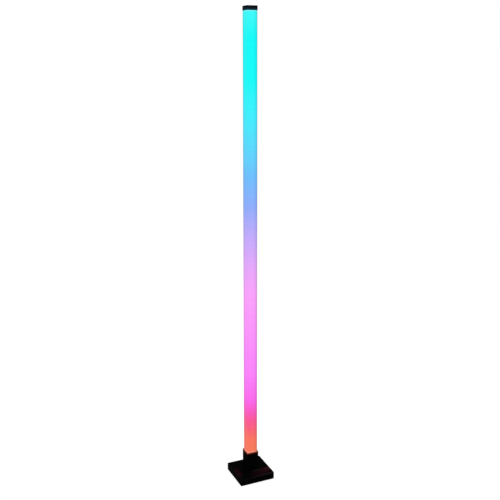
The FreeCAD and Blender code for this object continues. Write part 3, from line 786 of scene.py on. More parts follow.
SCREW_BLACK = Finish("screw_black", (0.05, 0.05, 0.055), (0.08, 0.08, 0.085), 0.4, Grain.PLATED, metallic=1.0)
SCREW_ZINC = Finish("screw_zinc", (0.50, 0.51, 0.53), (0.60, 0.60, 0.58), 0.32, Grain.PLATED, metallic=1.0)
SHIELD_TIN = Finish("shield_tin", (0.58, 0.58, 0.57), (0.68, 0.68, 0.66), 0.3, Grain.ROLLED, metallic=1.0)
CAPACITOR_SLEEVE = Finish("capacitor_sleeve", (0.56, 0.56, 0.58), (0.66, 0.66, 0.67), 0.3, Grain.DRAWN, metallic=1.0)
CONTACT_NICKEL = Finish("contact_nickel", (0.66, 0.64, 0.58), (0.74, 0.72, 0.66), 0.22, Grain.PLATED, metallic=1.0)
CONNECTOR_CREAM = Finish("connector_cream", (0.72, 0.68, 0.57), (0.78, 0.74, 0.64), 0.48, Grain.SPARKED)
LEAD_WHITE = Finish("lead_white", (0.74, 0.74, 0.72), (0.80, 0.80, 0.78), 0.55, Grain.PLATED)
BOARD_GREEN = CircuitBoard("board_green")
LED_PACKAGE = LightPackage("led_package", "window", "contact")
CHIP_BLACK = ChipPackage("chip_black", "leg", "dot")

AnyFinish = Union[Finish, OpalLight, CircuitBoard, FlexTape, LightPackage, ChipPackage]


# ---------------------------------------------------------------- meshes


class Shell:
    """A mesh in the making, in millimetres."""

    def __init__(self, *marks: str) -> None:
        """Starts empty.

        Args:
            marks: names of the point attributes that it will have.
        """
        self.bm = bmesh.new()
        for name in marks:
            self.bm.verts.layers.float.new(name)

    def mark(self, name: str, vertices: Sequence[bmesh.types.BMVert]) -> None:
        """Sets a point attribute to 1.

        Args:
            name: the attribute's name.
            vertices: the points that get it.
        """
        layer = self.bm.verts.layers.float[name]
        for vertex in vertices:
            vertex[layer] = 1.0

    def loft(self, rings: Sequence[Ring], joined: bool = False) -> list[bmesh.types.BMVert]:
        """Skins rings of equal length.

        Args:
            rings: the rings in order, all turning the same way.
            joined: whether the last ring meets the first; otherwise both ends are filled.

        Returns:
            The new vertices.
        """
        loops = [[self.bm.verts.new(point) for point in ring] for ring in rings]
        pairs = list(zip(loops, loops[1:] + loops[:1])) if joined else list(zip(loops, loops[1:]))
        for lower, upper in pairs:
            for k in range(len(lower)):
                n = (k + 1) % len(lower)
                self.bm.faces.new((lower[k], lower[n], upper[n], upper[k]))
        if not joined:
            self.bm.faces.new(loops[0][::-1])
            self.bm.faces.new(loops[-1])
        return [vertex for loop in loops for vertex in loop]

    def turned(self, profile: Sequence[Flat], steps: int, matrix: Matrix = Matrix()) -> None:
        """Adds a solid of revolution about Z.

        Args:
            profile: (radius, z) points from one end of the axis to the other; radii above 0.
            steps: how many sides it has.
            matrix: where it goes.
        """
        rings = []
        for radius, z in profile:
            angles = [2.0 * math.pi * k / steps for k in range(steps)]
            rings.append([tuple(matrix @ Vector((radius * math.cos(a), radius * math.sin(a), z))) for a in angles])
        self.loft(rings)

    def block(self, low: Point, high: Point, bevel: float = 0.0) -> list[bmesh.types.BMVert]:
        """Adds a box with bevelled edges.

        Args:
            low: its lowest corner.
            high: its highest corner.
            bevel: width of the bevel, or 0.

        Returns:
            Its vertices.
        """
        middle = (Vector(low) + Vector(high)) / 2
        size = Vector(high) - Vector(low)
        made = bmesh.ops.create_cube(self.bm, size=1.0, matrix=at(*middle) @ Matrix.Diagonal((*size, 1)))
        if bevel <= 0:
            return made["verts"]
        edges = list({edge for vertex in made["verts"] for edge in vertex.link_edges})
        return bmesh.ops.bevel(self.bm, geom=edges, offset=bevel, segments=2, profile=0.5, affect="EDGES")["verts"]

    def mesh(self, name: str, matrix: Matrix = Matrix()) -> bpy.types.Mesh:
        """Ends the shell.

        Args:
            name: the mesh's name.
            matrix: a last move, in millimetres.

        Returns:
            The mesh in metres, with its faces pointing outwards.
        """
        bmesh.ops.recalc_face_normals(self.bm, faces=self.bm.faces)
        self.bm.transform(Matrix.Scale(MM, 4) @ matrix)
        mesh = bpy.data.meshes.new(name)
        self.bm.to_mesh(mesh)
        self.bm.free()
        return mesh

    def piece(self, name: str, matrix: Matrix = Matrix()) -> bpy.types.Object:
        """Ends the shell as an object in the scene; the arguments are those of mesh."""
        return as_object(name, self.mesh(name, matrix))


def at(x: float, y: float, z: float = 0.0) -> Matrix:
    """A move to a place, in millimetres."""
    return Matrix.Translation((x, y, z))


def rounded_square(half: float, radius: float, z: float, steps: int = 6) -> Ring:
    """A level ring round the Z axis.

    Args:
        half: half of the square's side.
        radius: of its corners.
        z: height.
        steps: sides of each corner's arc.

    Returns:
        The ring's points, anticlockwise from above.
    """
    ring = []
    for quarter in range(4):
        turn = math.radians(90.0 * quarter)
        for k in range(steps + 1):
            angle = math.radians(90.0 * k / steps)
            x = half - radius + radius * math.cos(angle)
            y = half - radius + radius * math.sin(angle)
            ring.append((x * math.cos(turn) - y * math.sin(turn), x * math.sin(turn) + y * math.cos(turn), z))
    return ring


def rounded_edge(half: float, corner: float, edge_z: float, fillet: float, upwards: bool, steps: int = 4) -> list[Ring]:
    """Rings that round a square block's level edge.

    Args:
        half: half of the block's side.
        corner: radius of its upright corners.
        edge_z: height of the edge.
        fillet: radius of the rounding.
        upwards: True for a top edge, False for a bottom edge.
        steps: sides of the rounding.

    Returns:
        The rings, from the block's side to its level face.
    """
    sign = 1.0 if upwards else -1.0
    rings = []
    for k in range(steps + 1):
        angle = math.radians(90.0 * k / steps)
        inset = fillet * (1.0 - math.cos(angle))
        z = edge_z - sign * fillet * (1.0 - math.sin(angle))
        rings.append(rounded_square(half - inset, max(corner - inset, 0.05), z))
    return rings


def as_object(name: str, mesh: bpy.types.Mesh) -> bpy.types.Object:
    """Puts a mesh in the scene as an object at the origin.

    Args:
        name: the object's name.
        mesh: its mesh, in metres.

    Returns:
        The object.
    """
    obj = bpy.data.objects.new(name, mesh)
    bpy.context.scene.collection.objects.link(obj)
    return obj


def settled(obj: bpy.types.Object) -> bpy.types.Object:
    """Turns an object's modifiers into plain mesh.

    Args:
        obj: the object, with its modifiers live.

    Returns:
        The same object, with the result as its mesh and no modifiers.
    """
    depsgraph = bpy.context.evaluated_depsgraph_get()
    mesh = bpy.data.meshes.new_from_object(obj.evaluated_get(depsgraph), depsgraph=depsgraph)
    mesh.name = obj.name
    obj.modifiers.clear()
    obj.data = mesh
    return obj


def combine(obj: bpy.types.Object, tool: bpy.types.Mesh, operation: str) -> None:
    """Unites a mesh with an object, or cuts it away.

    Args:
        obj: the object that is changed.
        tool: the other mesh, in metres.
        operation: "UNION" or "DIFFERENCE".
    """
    helper = as_object("tool", tool)
    modifier = obj.modifiers.new("combine", "BOOLEAN")
    modifier.operation = operation
    modifier.solver = "EXACT"
    modifier.object = helper
    settled(obj)
    bpy.data.objects.remove(helper)


def smoothed(obj: bpy.types.Object, angle: float = 32.0) -> None:
    """Shades an object smooth, with its sharper edges kept.

    Args:
        obj: the object.
        angle: the least angle of a sharp edge, in degrees.
    """
    mesh = obj.data
    mesh.polygons.foreach_set("use_smooth", [True] * len(mesh.polygons))
    bm = bmesh.new()
    bm.from_mesh(mesh)
    limit = math.radians(angle)
    for edge in bm.edges:
        edge.smooth = len(edge.link_faces) == 2 and edge.calc_face_angle(0.0) < limit
    bm.to_mesh(mesh)
    bm.free()


# ---------------------------------------------------------------- geometry trees


class Former(Graph):
    """A Geometry Nodes tree that forms pieces, with named inputs in metres."""

    def __init__(self, name: str, inputs: Mapping[str, str]) -> None:
        """Starts the tree.

        Args:
            name: the tree's name.
            inputs: its sizes, as names and socket types.
        """
        super().__init__(bpy.data.node_groups.new(name, "GeometryNodeTree"))
        face = self.tree.interface
        face.new_socket("Geometry", in_out="INPUT", socket_type="NodeSocketGeometry")
        self.keys = {
            label: face.new_socket(label, in_out="INPUT", socket_type=kind).identifier
            for label, kind in {**inputs, "Finish": "NodeSocketMaterial"}.items()
        }
        face.new_socket("Geometry", in_out="OUTPUT", socket_type="NodeSocketGeometry")
        self.start = self.tree.nodes.new("NodeGroupInput")

    def entry(self, label: str) -> Wire:
        """The wire of a named input."""
        return Wire(self, self.start.outputs[label])

    def close(self, geometry: Wire) -> None:
        """Ends the tree in Realize Instances and Set Material.

        Args:
            geometry: what the tree has made.
        """
        real = self.node("GeometryNodeRealizeInstances", inputs={0: geometry})
        dressed = self.node("GeometryNodeSetMaterial", inputs={"Geometry": real, "Material": self.entry("Finish")})
        end = self.tree.nodes.new("NodeGroupOutput")
        self.link(dressed, end.inputs[0])

    def form(self, obj: bpy.types.Object, finish: bpy.types.Material, **values: Any) -> bpy.types.Object:
        """Runs the tree on an object.

        Args:
            obj: the object whose geometry the tree starts from.
            finish: the material that it gives.
            values: its inputs, with underscores for spaces.

        Returns:
            The object, now a plain mesh.
        """
        modifier = obj.modifiers.new("form", "NODES")
        modifier.node_group = self.tree
        for label, value in values.items():
            modifier[self.keys[label.replace("_", " ")]] = value
        modifier[self.keys["Finish"]] = finish
        return settled(obj)


def extrusion_former() -> Former:
    """Draws a level section out along Z, as an extrusion die does.

    Returns:
        The tree; its object holds the section as a closed chain of edges.
    """
    tree = Former("extruded_section", {"Foot": "NodeSocketFloat", "Length": "NodeSocketFloat"})
    curve = tree.node("GeometryNodeMeshToCurve", inputs={0: tree.entry("Geometry")})
    face = tree.node("GeometryNodeFillCurve", {"mode": "NGONS"}, {0: curve})
    along = tree.node("ShaderNodeCombineXYZ", inputs={"Z": tree.entry("Length")})
    sweep = {"Mesh": face, "Offset": along, "Individual": False}
    drawn = tree.node("GeometryNodeExtrudeMesh", {"mode": "FACES"}, sweep)
    under = tree.node("GeometryNodeFlipFaces", inputs={0: face})
    join = tree.tree.nodes.new("GeometryNodeJoinGeometry")
    for part in (under, drawn):
        tree.link(part, join.inputs[0])
    closed = tree.node("GeometryNodeMergeByDistance", inputs={0: Wire(tree, join.outputs[0]), "Distance": 1e-6})
    foot = tree.node("ShaderNodeCombineXYZ", inputs={"Z": tree.entry("Foot")})
    tree.close(tree.node("GeometryNodeTransform", inputs={"Geometry": closed, "Translation": foot}))
    return tree


def row_former() -> Former:
    """Repeats a piece at even steps.

    Returns:
        The tree; its object is the piece.
    """
    tree = Former("row", {"Count": "NodeSocketInt", "Start": "NodeSocketVector", "Step": "NodeSocketVector"})
    line = tree.node(
        "GeometryNodeMeshLine",
        {"mode": "OFFSET"},
        {"Count": tree.entry("Count"), "Start Location": tree.entry("Start"), "Offset": tree.entry("Step")},
    )
    tree.close(tree.node("GeometryNodeInstanceOnPoints", inputs={"Points": line, "Instance": tree.entry("Geometry")}))
    return tree


def corner_former() -> Former:
    """Repeats a piece at the four corners of a level square.

    Returns:
        The tree; its object is the piece, on the Z axis.
    """
    tree = Former("corners", {"Side": "NodeSocketFloat", "Height": "NodeSocketFloat"})
    side = tree.entry("Side")
    grid = tree.node("GeometryNodeMeshGrid", inputs={"Size X": side, "Size Y": side, "Vertices X": 2, "Vertices Y": 2})
    lift = tree.node("ShaderNodeCombineXYZ", inputs={"Z": tree.entry("Height")})
    points = tree.node("GeometryNodeTransform", inputs={"Geometry": grid, "Translation": lift})
    tree.close(tree.node("GeometryNodeInstanceOnPoints", inputs={"Points": points, "Instance": tree.entry("Geometry")}))
    return tree


def lead_former() -> Former:
    """Sweeps round cores side by side along a path that lies across X.

    Returns:
        The tree; its object is the path, as a chain of edges.
    """
    sizes = {"Cores": "NodeSocketInt", "Core Radius": "NodeSocketFloat", "Spacing": "NodeSocketFloat"}
    tree = Former("cored_lead", sizes)
    path = tree.node("GeometryNodeMeshToCurve", inputs={0: tree.entry("Geometry")})
    ring = tree.node(
        "GeometryNodeCurvePrimitiveCircle", {"mode": "RADIUS"}, {"Resolution": 16, "Radius": tree.entry("Core Radius")}
    )
    core = tree.node("GeometryNodeCurveToMesh", inputs={"Curve": path, "Profile Curve": ring, "Fill Caps": True})
    spacing = tree.entry("Spacing")
    step = tree.node("ShaderNodeCombineXYZ", inputs={"X": spacing})
    first = tree.node("ShaderNodeCombineXYZ", inputs={"X": -0.5 * spacing * (tree.entry("Cores") - 1.0)})
    lanes = tree.node(
        "GeometryNodeMeshLine",
        {"mode": "OFFSET"},
        {"Count": tree.entry("Cores"), "Start Location": first, "Offset": step},
    )
    tree.close(tree.node("GeometryNodeInstanceOnPoints", inputs={"Points": lanes, "Instance": core}))
    return tree


# ---------------------------------------------------------------- sub-assemblies


class SubAssembly:
    """What every sub-assembly does with its pieces."""

    finished: dict[str, bpy.types.Material] = {}

    @classmethod
    def coat(cls, finish: AnyFinish) -> bpy.types.Material:
        """The one material of a finish, made when it is first asked for.

        Args:
            finish: the finish.

        Returns:
            The material.
        """
        if finish.slot not in cls.finished:
            cls.finished[finish.slot] = finish.material()
        return cls.finished[finish.slot]

    def dress(self, **finishes: AnyFinish) -> None:
        """Gives carried CAD nodes their finishes.

        Args:
            finishes: what each node gets, by the node's name.
        """
        for node, finish in finishes.items():
            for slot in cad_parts[node].material_slots:
                slot.material = self.coat(finish)
            log.info("%-18s kept from the frame, finish %s", node, finish.slot)

    def lay_pair(self, obj: bpy.types.Object, row: Former, places: Sequence[Flat], z: float, finish: AnyFinish) -> None:
        """Repeats a piece at two places.

        Args:
            obj: the piece, on the Z axis.
            row: the tree for rows.
            places: the two (x, y) places, in millimetres.
            z: their height.
            finish: the piece's finish.
        """
        (x0, y0), (x1, y1) = places
        step = ((x1 - x0) * MM, (y1 - y0) * MM, 0.0)
        row.form(obj, self.coat(finish), Count=2, Start=(x0 * MM, y0 * MM, z * MM), Step=step)

    def fit(self, obj: bpy.types.Object, node: str, finish: AnyFinish, body: str = LAMP) -> None:
        """Puts a built piece in place of its CAD node.

        Args:
            obj: the piece.
            node: the node that it stands for.
            finish: its finish.
            body: the body that it rides on.
        """
        obj.data.materials.clear()
        obj.data.materials.append(self.coat(finish))
        smoothed(obj)
        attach(obj, body)
        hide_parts(node)
        log.info("%-18s built, %d faces, finish %s", obj.name, len(obj.data.polygons), finish.slot)


@dataclass
class Screw:
    """A machine screw with a cross recess and turned thread grooves, its seat at height 0 and its tip up."""

    head: float  # diameter of the head
    shank: float  # diameter over the thread
    length: float  # seat to tip
    pitch: float = 0.7
    head_height: float = 0.0  # 0 for a countersunk head, whose top then lies at height 0
    recess: float = 0.55  # the recess's reach, as a share of the head's radius
    recess_width: float = 0.14  # and half of an arm's width
    recess_floor: float = 0.6  # how much of both is left at the recess's floor
    steps: int = 20

    def profile(self) -> list[Flat]:
        """The screw's (radius, z) outline, from the head's outer face to the tip.

        Returns:
            The points, in order.
        """
        head, shank = self.head / 2, self.shank / 2
        core = 0.82 * shank  # radius in the thread's grooves
        if self.head_height > 0:
            low = -self.head_height
            outline = [(head * 0.7, low), (head * 0.93, low + 0.12), (head, low + 0.4)]
            outline += [(head, -0.05), (head - 0.05, 0.0)]
        else:
            outline = [(head - 0.05, 0.0), (head, 0.06), (shank, head - shank)]
        z = outline[-1][1] + 0.6
        outline.append((core, z - 0.3))
        while z + self.pitch < self.length - 0.8:
            outline += [(core, z), (shank, z + 0.4 * self.pitch), (shank, z + 0.55 * self.pitch)]
            z += self.pitch
        return outline + [(core, z), (shank * 0.8, self.length - 0.5), (shank * 0.45, self.length)]

    def recess_tool(self) -> bpy.types.Mesh:
        """The cross that is cut out of the head.

        Returns:
            Its mesh, in metres.
        """
        tool = Shell()
        low = -self.head_height - 0.2
        depth = 0.55 * self.head_height if self.head_height > 0 else 0.28 * self.head
        rings = []
        for share, z in ((1.0, low), (self.recess_floor, -self.head_height + depth)):
            reach = share * self.recess * self.head / 2
            half = share * self.recess_width * self.head / 2
            arm = [(half, -half), (reach, -half), (reach, half)]
            turns = [Matrix.Rotation(math.radians(90.0 * k), 2) for k in range(4)]
            rings.append([(*(turn @ Vector(point)), z) for turn in turns for point in arm])
        tool.loft(rings)
        return tool.mesh("recess")

    def build(self, name: str) -> bpy.types.Object:
        """Builds one screw on the Z axis.

        Args:
            name: its object's name.

        Returns:
            The object.
        """
        shell = Shell()
        shell.turned(self.profile(), self.steps)
        obj = shell.piece(name)
        combine(obj, self.recess_tool(), "DIFFERENCE")
        return obj


@dataclass
class LightColumn(SubAssembly):
    """The opal cover, the cap, and the light strip inside."""

    half: float = 15.0
    foot: float = 25.5
    cap_top: float = 2.5
    height: float = 1400.0
    channel_wall: float = 1.2
    cover_wall: float = 1.6
    cover_radius: float = 2.0
    cover_inner_radius: float = 0.8
    leg: float = 1.2
    edge_gap: float = 0.1
    catch_depth: float = 0.9
    catch_inset: float = 4.0
    catch_thickness: float = 1.0
    snap: float = 0.1
    barb: float = 1.6
    web_sum: float = 5.6 * math.sqrt(2.0)
    strip_start: float = 54.5
    strip_thickness: float = 0.3
    segment: float = 50.0
    leds_per_segment: int = 3
    led_count: int = 80
    led_side: float = 5.0
    led_height: float = 1.6
    chip_length: float = 4.9
    chip_width: float = 3.9
    chip_height: float = 1.4
    cap_skirt_z: float = 1387.7
    cap_half: float = 15.8
    cap_radius: float = 1.0
    cap_fillet: float = 0.45
    cap_inner_half: float = 15.1
    peg_diameter: float = 3.4
    peg_length: float = 9.0
    ports: tuple[Flat, ...] = ((11.45, 11.45), (11.45, 1.7703), (1.7703, 11.45))

    @property
    def top(self) -> float:
        """Height of the column's upper end."""
        return self.height - self.cap_top

    def section(self) -> list[Flat]:
        """The opal cover's outline: one half and its mirror image about the column's diagonal.

        Returns:
            Its points, in order.
        """
        inner = -self.half + self.cover_wall
        leg_out = self.half - self.channel_wall - self.catch_depth - self.snap
        leg_in = leg_out - self.leg
        barb_y = -self.half + self.catch_inset + self.catch_thickness + self.snap
        edge = self.half - self.channel_wall - self.edge_gap
        corner = self.arc(-self.half + self.cover_radius, self.cover_radius, 225.0, 270.0, 7)
        nib = 0.15
        half = corner + [
            (edge - nib, -self.half),
            (edge, -self.half + nib),
            (edge, inner),
            (leg_out, inner),
            (leg_out, barb_y),
            (leg_out + self.catch_depth - self.snap, barb_y),
            (leg_out, barb_y + self.barb),
            (leg_in, barb_y + self.barb),
            (leg_in, inner),
        ]
        half += self.arc(inner + self.cover_inner_radius, self.cover_inner_radius, 270.0, 225.0, 5)
        return half + [(y, x) for x, y in half[::-1][1:-1]]

    @staticmethod
    def arc(centre: float, radius: float, start: float, end: float, points: int) -> list[Flat]:
        """Points of an arc.

        Args:
            centre: both coordinates of its centre.
            radius: of the arc.
            start: angle of its first point, in degrees.
            end: angle of its last point.
            points: how many.

        Returns:
            The points in order.
        """
        angles = [math.radians(start + (end - start) * k / (points - 1)) for k in range(points)]
        return [(centre + radius * math.cos(a), centre + radius * math.sin(a)) for a in angles]

    def build_cover(self, extrude: Former) -> None:
        """Builds the opal corner cover.

        Args:
            extrude: the tree for extrusions.
        """
        outline = [(x * MM, y * MM, 0.0) for x, y in self.section()]
        mesh = bpy.data.meshes.new("opal_cover")
        mesh.from_pydata(outline, [(k, (k + 1) % len(outline)) for k in range(len(outline))], [])
        opal = OpalLight(
            "opal",
            LAMP_LIGHT,
            led_pitch=self.segment / self.leds_per_segment * MM,
            edge=0.0030,
            dark_edge=0.0137,
        )
        obj = as_object("opal_cover", mesh)
        extrude.form(obj, self.coat(opal), Foot=self.foot * MM, Length=(self.top - self.foot) * MM)
        self.fit(obj, "diffuser", opal)

    def build_cap(self) -> None:
        """Builds the cap with its pegs."""
        half, radius, skirt = self.cap_half, self.cap_radius, self.cap_skirt_z
        outside = rounded_edge(half, radius, skirt, 0.15, False, 2)[::-1]
        outside += rounded_edge(half, radius, self.height, self.cap_fillet, True)
        inside = [rounded_square(self.cap_inner_half, 0.1, z) for z in (self.top, skirt)]
        shell = Shell()
        shell.loft(inside + outside)
        obj = shell.piece("cap")
        pegs = Shell()
        tip = self.top - self.peg_length
        for x, y in self.ports:
            radius = self.peg_diameter / 2
            outline = [(radius - 0.5, tip), (radius, tip + 0.8), (radius, self.top + 1.0)]
            pegs.turned(outline, 20, at(x, y))
        combine(obj, pegs.mesh("pegs"), "UNION")
        self.fit(obj, "top_cap", CAP_BLACK)

    def on_web(self) -> Matrix:
        """Lays a shape that is drawn with +Y as outwards on the web's lit face."""
        return at(self.web_sum / 2, self.web_sum / 2) @ LIT_TURN

    def led_unit(self) -> bpy.types.Mesh:
        """One LED package, with a sunk round window and contacts at two sides.

        Returns:
            Its mesh, at the height 0 of the web.
        """
        half = self.led_side / 2
        low, high = self.strip_thickness, self.strip_thickness + self.led_height
        body, nib, corner, sides = half - 0.25, 0.1, 0.3, 16
        shell = Shell("window", "contact")
        levels = ((body, low), (body, high - nib), (body - nib, high))
        rings = [rounded_square(size, corner, depth, 3) for size, depth in levels]
        window_radius, window_slope, window_depth = 2.0, 0.2, 0.35
        angles = [math.radians(45.0 + 360.0 * (k - 1.5) / sides) for k in range(sides)]
        for radius, depth in ((window_radius, high), (window_radius - window_slope, high - window_depth)):
            rings.append([(radius * math.cos(a), radius * math.sin(a), depth) for a in angles])
        skinned = shell.loft([[tuple(Z_TO_Y @ Vector(point)) for point in ring] for ring in rings])
        shell.mark("window", skinned[-sides:])
        contact_height, contact_half, contact_reach, contact_pitch = 0.9, 0.45, 0.3, 1.6
        for side in (-1.0, 1.0):
            near, far = sorted((side * (half - contact_reach), side * half))
            for z in (-contact_pitch, 0.0, contact_pitch):
                ends = (near, low, z - contact_half), (far, low + contact_height, z + contact_half)
                shell.mark("contact", shell.block(*ends))
        return shell.mesh("led", self.on_web())

    def chip_unit(self) -> bpy.types.Mesh:
        """One driver chip, with a drafted body, a dimple and four legs at each side.

        Returns:
            Its mesh, at the height 0 of the web.
        """
        low, draft, gap, seam = self.strip_thickness, 0.12, 0.12, 0.65
        leg_reach, leg_pitch, dimple_inset = 0.55, 1.27, 0.7
        half_x, half_z = self.chip_width / 2 - leg_reach, self.chip_length / 2
        shell = Shell("leg", "dot")
        rings = []
        for depth, inset in ((gap, draft), (seam, 0.0), (self.chip_height, draft)):
            x, z, y = half_x - inset, half_z - inset, low + depth
            rings.append([(-x, y, -z), (x, y, -z), (x, y, z), (-x, y, z)])
        shell.loft(rings)
        dimple = at(-half_x + dimple_inset, low + self.chip_height - 0.02, -half_z + dimple_inset)
        before = set(shell.bm.verts)
        shell.turned([(0.3, -0.15), (0.3, 0.02)], 10, dimple @ Z_TO_Y)
        shell.mark("dot", [v for v in shell.bm.verts if v not in before])
        for side in (-1.0, 1.0):
            foot = sorted((side * (half_x + 0.2), side * self.chip_width / 2))
            knee = sorted((side * (half_x - 0.05), side * (half_x + 0.3)))
            for n in range(4):
                z = (n - 1.5) * leg_pitch
                shell.mark("leg", shell.block((foot[0], low, z - 0.2), (foot[1], low + 0.2, z + 0.2)))
                shell.mark("leg", shell.block((knee[0], low + 0.1, z - 0.19), (knee[1], low + seam + 0.1, z + 0.19)))
        return shell.mesh("chip", self.on_web())

    def build_strip_parts(self, row: Former) -> None:
        """Builds the rows of LEDs and chips.

        Args:
            row: the tree for rows.
        """
        pitch = self.segment / self.leds_per_segment
        first = self.strip_start + pitch / 2
        leds = as_object("led_row", self.led_unit())
        row.form(
            leds, self.coat(LED_PACKAGE), Count=self.led_count, Start=(0, 0, first * MM), Step=(0, 0, pitch * MM)
        )
        self.fit(leds, "leds", LED_PACKAGE)
        chips = as_object("chip_row", self.chip_unit())
        count = (self.led_count - 2) // self.leds_per_segment + 1
        start = (0, 0, (first + pitch / 2) * MM)
        row.form(chips, self.coat(CHIP_BLACK), Count=count, Start=start, Step=(0, 0, self.segment * MM))
        self.fit(chips, "pixel_chips", CHIP_BLACK)

    def build(self, extrude: Former, row: Former) -> None:
        """Builds and dresses the whole column.

        Args:
            extrude: the tree for extrusions.
            row: the tree for rows.
        """
        self.build_cover(extrude)
        self.build_cap()
        self.build_strip_parts(row)
        tape = FlexTape("strip_white", self.strip_start * MM, self.segment * MM)
        self.dress(channel=CHANNEL_BLACK, led_strip=tape)


@dataclass
class Collar(SubAssembly):
    """The socket that the column stands in, with its screws, grommet, lead and clip."""

    half: float = 18.5
    radius: float = 1.6
    rim_fillet: float = 0.45
    base_top: float = 21.5
    top: float = 83.0
    socket_half: float = 15.2
    floor: float = 25.5
    tenon_half: float = 15.25
    tenon_bottom: float = 18.7
    screw_hole: float = 4.2
    screw_places: tuple[Flat, ...] = ((11.45, 11.45), (11.45, 1.7703))
    screw_seat: float = 11.5
    screw_head: float = 7.0
    screw_head_height: float = 2.6
    screw_shank: float = 3.4
    screw_pitch: float = 0.9
    screw_tip: float = 39.5
    lead_place: Flat = (-2.03, -2.03)
    lead_core: float = 1.5
    lead_spacing: float = 1.44  # the cores are fused where they touch
    lead_bend: float = 7.8
    lead_start_y: float = 27.8
    lead_exit_z: float = 10.7
    lead_end_z: float = 47.5
    bush_half: Flat = (3.7, 2.25)

    def build_shell(self) -> None:
        """Builds the socket with its tenon, screw holes and lead hole."""
        tenon = [rounded_square(self.tenon_half, self.radius, z) for z in (self.tenon_bottom, self.base_top)]
        outside = rounded_edge(self.half, self.radius, self.base_top, 0.25, False, 2)[::-1]
        outside += rounded_edge(self.half, self.radius, self.top, self.rim_fillet, True)
        inside = [rounded_square(self.socket_half, 0.1, z) for z in (self.top, self.floor)]
        shell = Shell()
        shell.loft(tenon + outside + inside)
        obj = shell.piece("collar_socket")
        holes = Shell()
        span = (self.tenon_bottom - 1.0, self.floor + 1.0)
        for x, y in self.screw_places:
            outline = [(self.screw_hole / 2, z) for z in span]
            holes.turned(outline, 24, at(x, y))
        x, y = self.lead_place
        wide, deep = self.bush_half
        holes.block((x - wide, y - deep, span[0]), (x + wide, y + deep, span[1]))
        combine(obj, holes.mesh("holes"), "DIFFERENCE")
        self.fit(obj, "collar", COLLAR_BLACK)

    def build_screws(self, row: Former) -> None:
        """Builds the two column screws.

        Args:
            row: the tree for rows.
        """
        length = self.screw_tip - self.screw_seat
        screw = Screw(self.screw_head, self.screw_shank, length, self.screw_pitch, self.screw_head_height)
        obj = screw.build("column_fixing")
        self.lay_pair(obj, row, self.screw_places, self.screw_seat, SCREW_ZINC)
        self.fit(obj, "column_screws", SCREW_ZINC)

    def lead_line(self, steps: int = 12) -> list[Point]:
        """The lead's middle: out of its connector, round one elbow and up to the clip.

        Args:
            steps: sides of the elbow.

        Returns:
            Its points, in millimetres.
        """
        x, y = self.lead_place
        bend = self.lead_bend
        line = [(x, self.lead_start_y, self.lead_exit_z)]
        for k in range(steps + 1):
            angle = math.radians(90.0 * k / steps)
            line.append((x, y + bend - bend * math.sin(angle), self.lead_exit_z + bend - bend * math.cos(angle)))
        return line + [(x, y, self.lead_end_z)]

    def build_lead(self, cored: Former) -> None:
        """Builds the three-core lead between the board and the light strip.

        Args:
            cored: the tree for the lead.
        """
        line = [tuple(c * MM for c in point) for point in self.lead_line()]
        mesh = bpy.data.meshes.new("strip_cores")
        mesh.from_pydata(line, [(k, k + 1) for k in range(len(line) - 1)], [])
        obj = as_object("strip_cores", mesh)
        radius, spacing = 0.5 * self.lead_core * MM, self.lead_spacing * MM
        cored.form(obj, self.coat(LEAD_WHITE), Cores=3, Core_Radius=radius, Spacing=spacing)
        self.fit(obj, "strip_lead", LEAD_WHITE)

    def build(self, row: Former, cored: Former) -> None:
        """Builds and dresses the collar.

        Args:
            row: the tree for rows.
            cored: the tree for the lead.
        """
        self.build_shell()
        self.build_screws(row)
        self.build_lead(cored)
        self.dress(lead_grommet=GROMMET_BLACK, strip_clip=CONNECTOR_CREAM)


